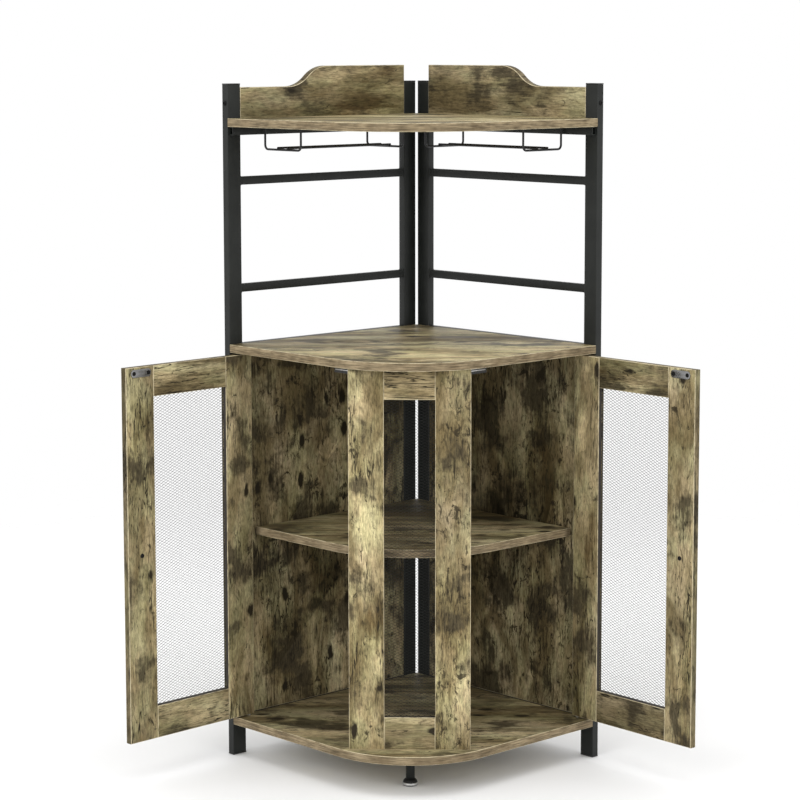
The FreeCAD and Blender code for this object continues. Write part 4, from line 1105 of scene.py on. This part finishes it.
# %% Welds
BEAD = 0.0022
BEAD_ROUND = BEAD * 0.45
beads = []
for rail in ("left_upper_rail", "left_lower_rail"):
    rail_low, rail_high = node_reach(rail)
    rail_middle = (rail_low + rail_high) / 2
    for x, inward in ((rail_low.x, 1), (rail_high.x, -1)):
        bead = bmesh.new()
        bmesh.ops.create_cube(bead, size=1)
        size = Vector((BEAD, rail_high.y - rail_low.y + BEAD, rail_high.z - rail_low.z + BEAD))
        bmesh.ops.scale(bead, verts=bead.verts[:], vec=size)
        round_edges(bead, bead.edges[:], BEAD_ROUND, 3)
        spot = (x + inward * BEAD / 2, rail_middle.y, rail_middle.z)
        bmesh.ops.translate(bead, verts=bead.verts[:], vec=spot)
        beads.append(bead)
print(f"{len(beads)} weld beads on each side")
welds = joined(beads)
turn_level(welds, WALL_TURN)
add_pair("weld_beads", welds, [powder_coat], CABINET_PAIR)

# %% [markdown]
# ## Floor
#
# A pale disc carries the soft shadows. A mix with a transparent shader fades it out towards its rim, so it
# runs into the white surround with no horizon.

# %% Floor
FLOOR_RADIUS = 3.0
FADE_START = 1.3
FLOOR_DROP = 0.0005
scene = bpy.context.scene
scene.view_settings.view_transform = "Standard"
floor_finish, tree, shader, place = new_finish("pale_floor", 0.7)
drive(tree, shader, "Base Color", noise(tree, place, 0.8), [(0.3, grey(0.88)), (0.7, grey(0.9))])
distance = add_node(tree, "ShaderNodeVectorMath", {0: place}, operation="LENGTH").outputs["Value"]
fade_span = {"Value": distance, "From Min": FADE_START, "From Max": FLOOR_RADIUS}
fading = add_node(tree, "ShaderNodeMapRange", fade_span, interpolation_type="SMOOTHSTEP").outputs["Result"]
clear = add_node(tree, "ShaderNodeBsdfTransparent").outputs["BSDF"]
faded = add_node(tree, "ShaderNodeMixShader", {0: fading, 1: shader.outputs["BSDF"], 2: clear})
tree.links.new(faded.outputs["Shader"], tree.nodes["Material Output"].inputs["Surface"])

floor_mesh = bmesh.new()
bmesh.ops.create_circle(floor_mesh, cap_ends=True, segments=64, radius=FLOOR_RADIUS)
bmesh.ops.translate(floor_mesh, verts=floor_mesh.verts[:], vec=(0, 0, -FLOOR_DROP))
floor_data = bpy.data.meshes.new("floor")
floor_mesh.to_mesh(floor_data)
floor_mesh.free()
floor_data.materials.append(floor_finish)
floor = bpy.data.objects.new("floor", floor_data)
scene.collection.objects.link(floor)
print(f"floor disc of {FLOOR_RADIUS} m radius")

# %% [markdown]
# ## Light
#
# An even white surround fills the shadows. Two large soft boxes stand at the front, left and right, and one
# hangs above, so the tubes get long soft highlights and the inside of the cupboard stays darker.

# %% Light
surround = bpy.data.worlds.new("white_surround")
surround.use_nodes = True
surround.node_tree.nodes["Background"].inputs["Color"].default_value = (1, 1, 1, 1)
surround.node_tree.nodes["Background"].inputs["Strength"].default_value = 1.0
scene.world = surround


def soft_box(name, spot, target, size, power):
    """A square area light that faces a point."""
    lamp = bpy.data.lights.new(name, "AREA")
    lamp.size = size
    lamp.energy = power
    holder = bpy.data.objects.new(name, lamp)
    holder.location = spot
    holder.rotation_euler = (Vector(target) - Vector(spot)).to_track_quat("-Z", "Y").to_euler()
    scene.collection.objects.link(holder)


soft_box("front_left_box", spot=(-2.4, -3.6, 2.6), target=(0, 0, 0.6), size=2.0, power=60)
soft_box("front_right_box", spot=(2.8, -3.2, 2.2), target=(0, 0, 0.6), size=2.0, power=35)
soft_box("overhead_box", spot=(0.2, -0.6, 3.6), target=(0, 0, 0), size=2.6, power=40)
print("white surround and three soft boxes")

# %% [markdown]
# ## Camera
#
# The camera's place and lens come from measured lines of the cabinet. It stands a little above the
# backboards, looks slightly down and has a long lens, which keeps the posts nearly parallel.

# %% Camera
FRAME_PIXELS = 800
FOCAL_PIXELS = 2483
CAMERA_SPOT = (0.111, -4.485, 1.307)
LOOK_DOWN = math.radians(7.14)
LOOK_LEFT = math.radians(1.71)
ROLL = math.radians(0.08)
LENS_SHIFT = -0.06
lens = bpy.data.cameras.new("camera")
lens.sensor_width = 36
lens.lens = FOCAL_PIXELS * lens.sensor_width / FRAME_PIXELS
lens.shift_y = LENS_SHIFT
lens.clip_end = 200
camera = bpy.data.objects.new("camera", lens)
camera.location = CAMERA_SPOT
camera.rotation_euler = (math.radians(90) - LOOK_DOWN, ROLL, LOOK_LEFT)
scene.collection.objects.link(camera)
scene.camera = camera
print(f"camera with a {lens.lens:.0f} mm lens")
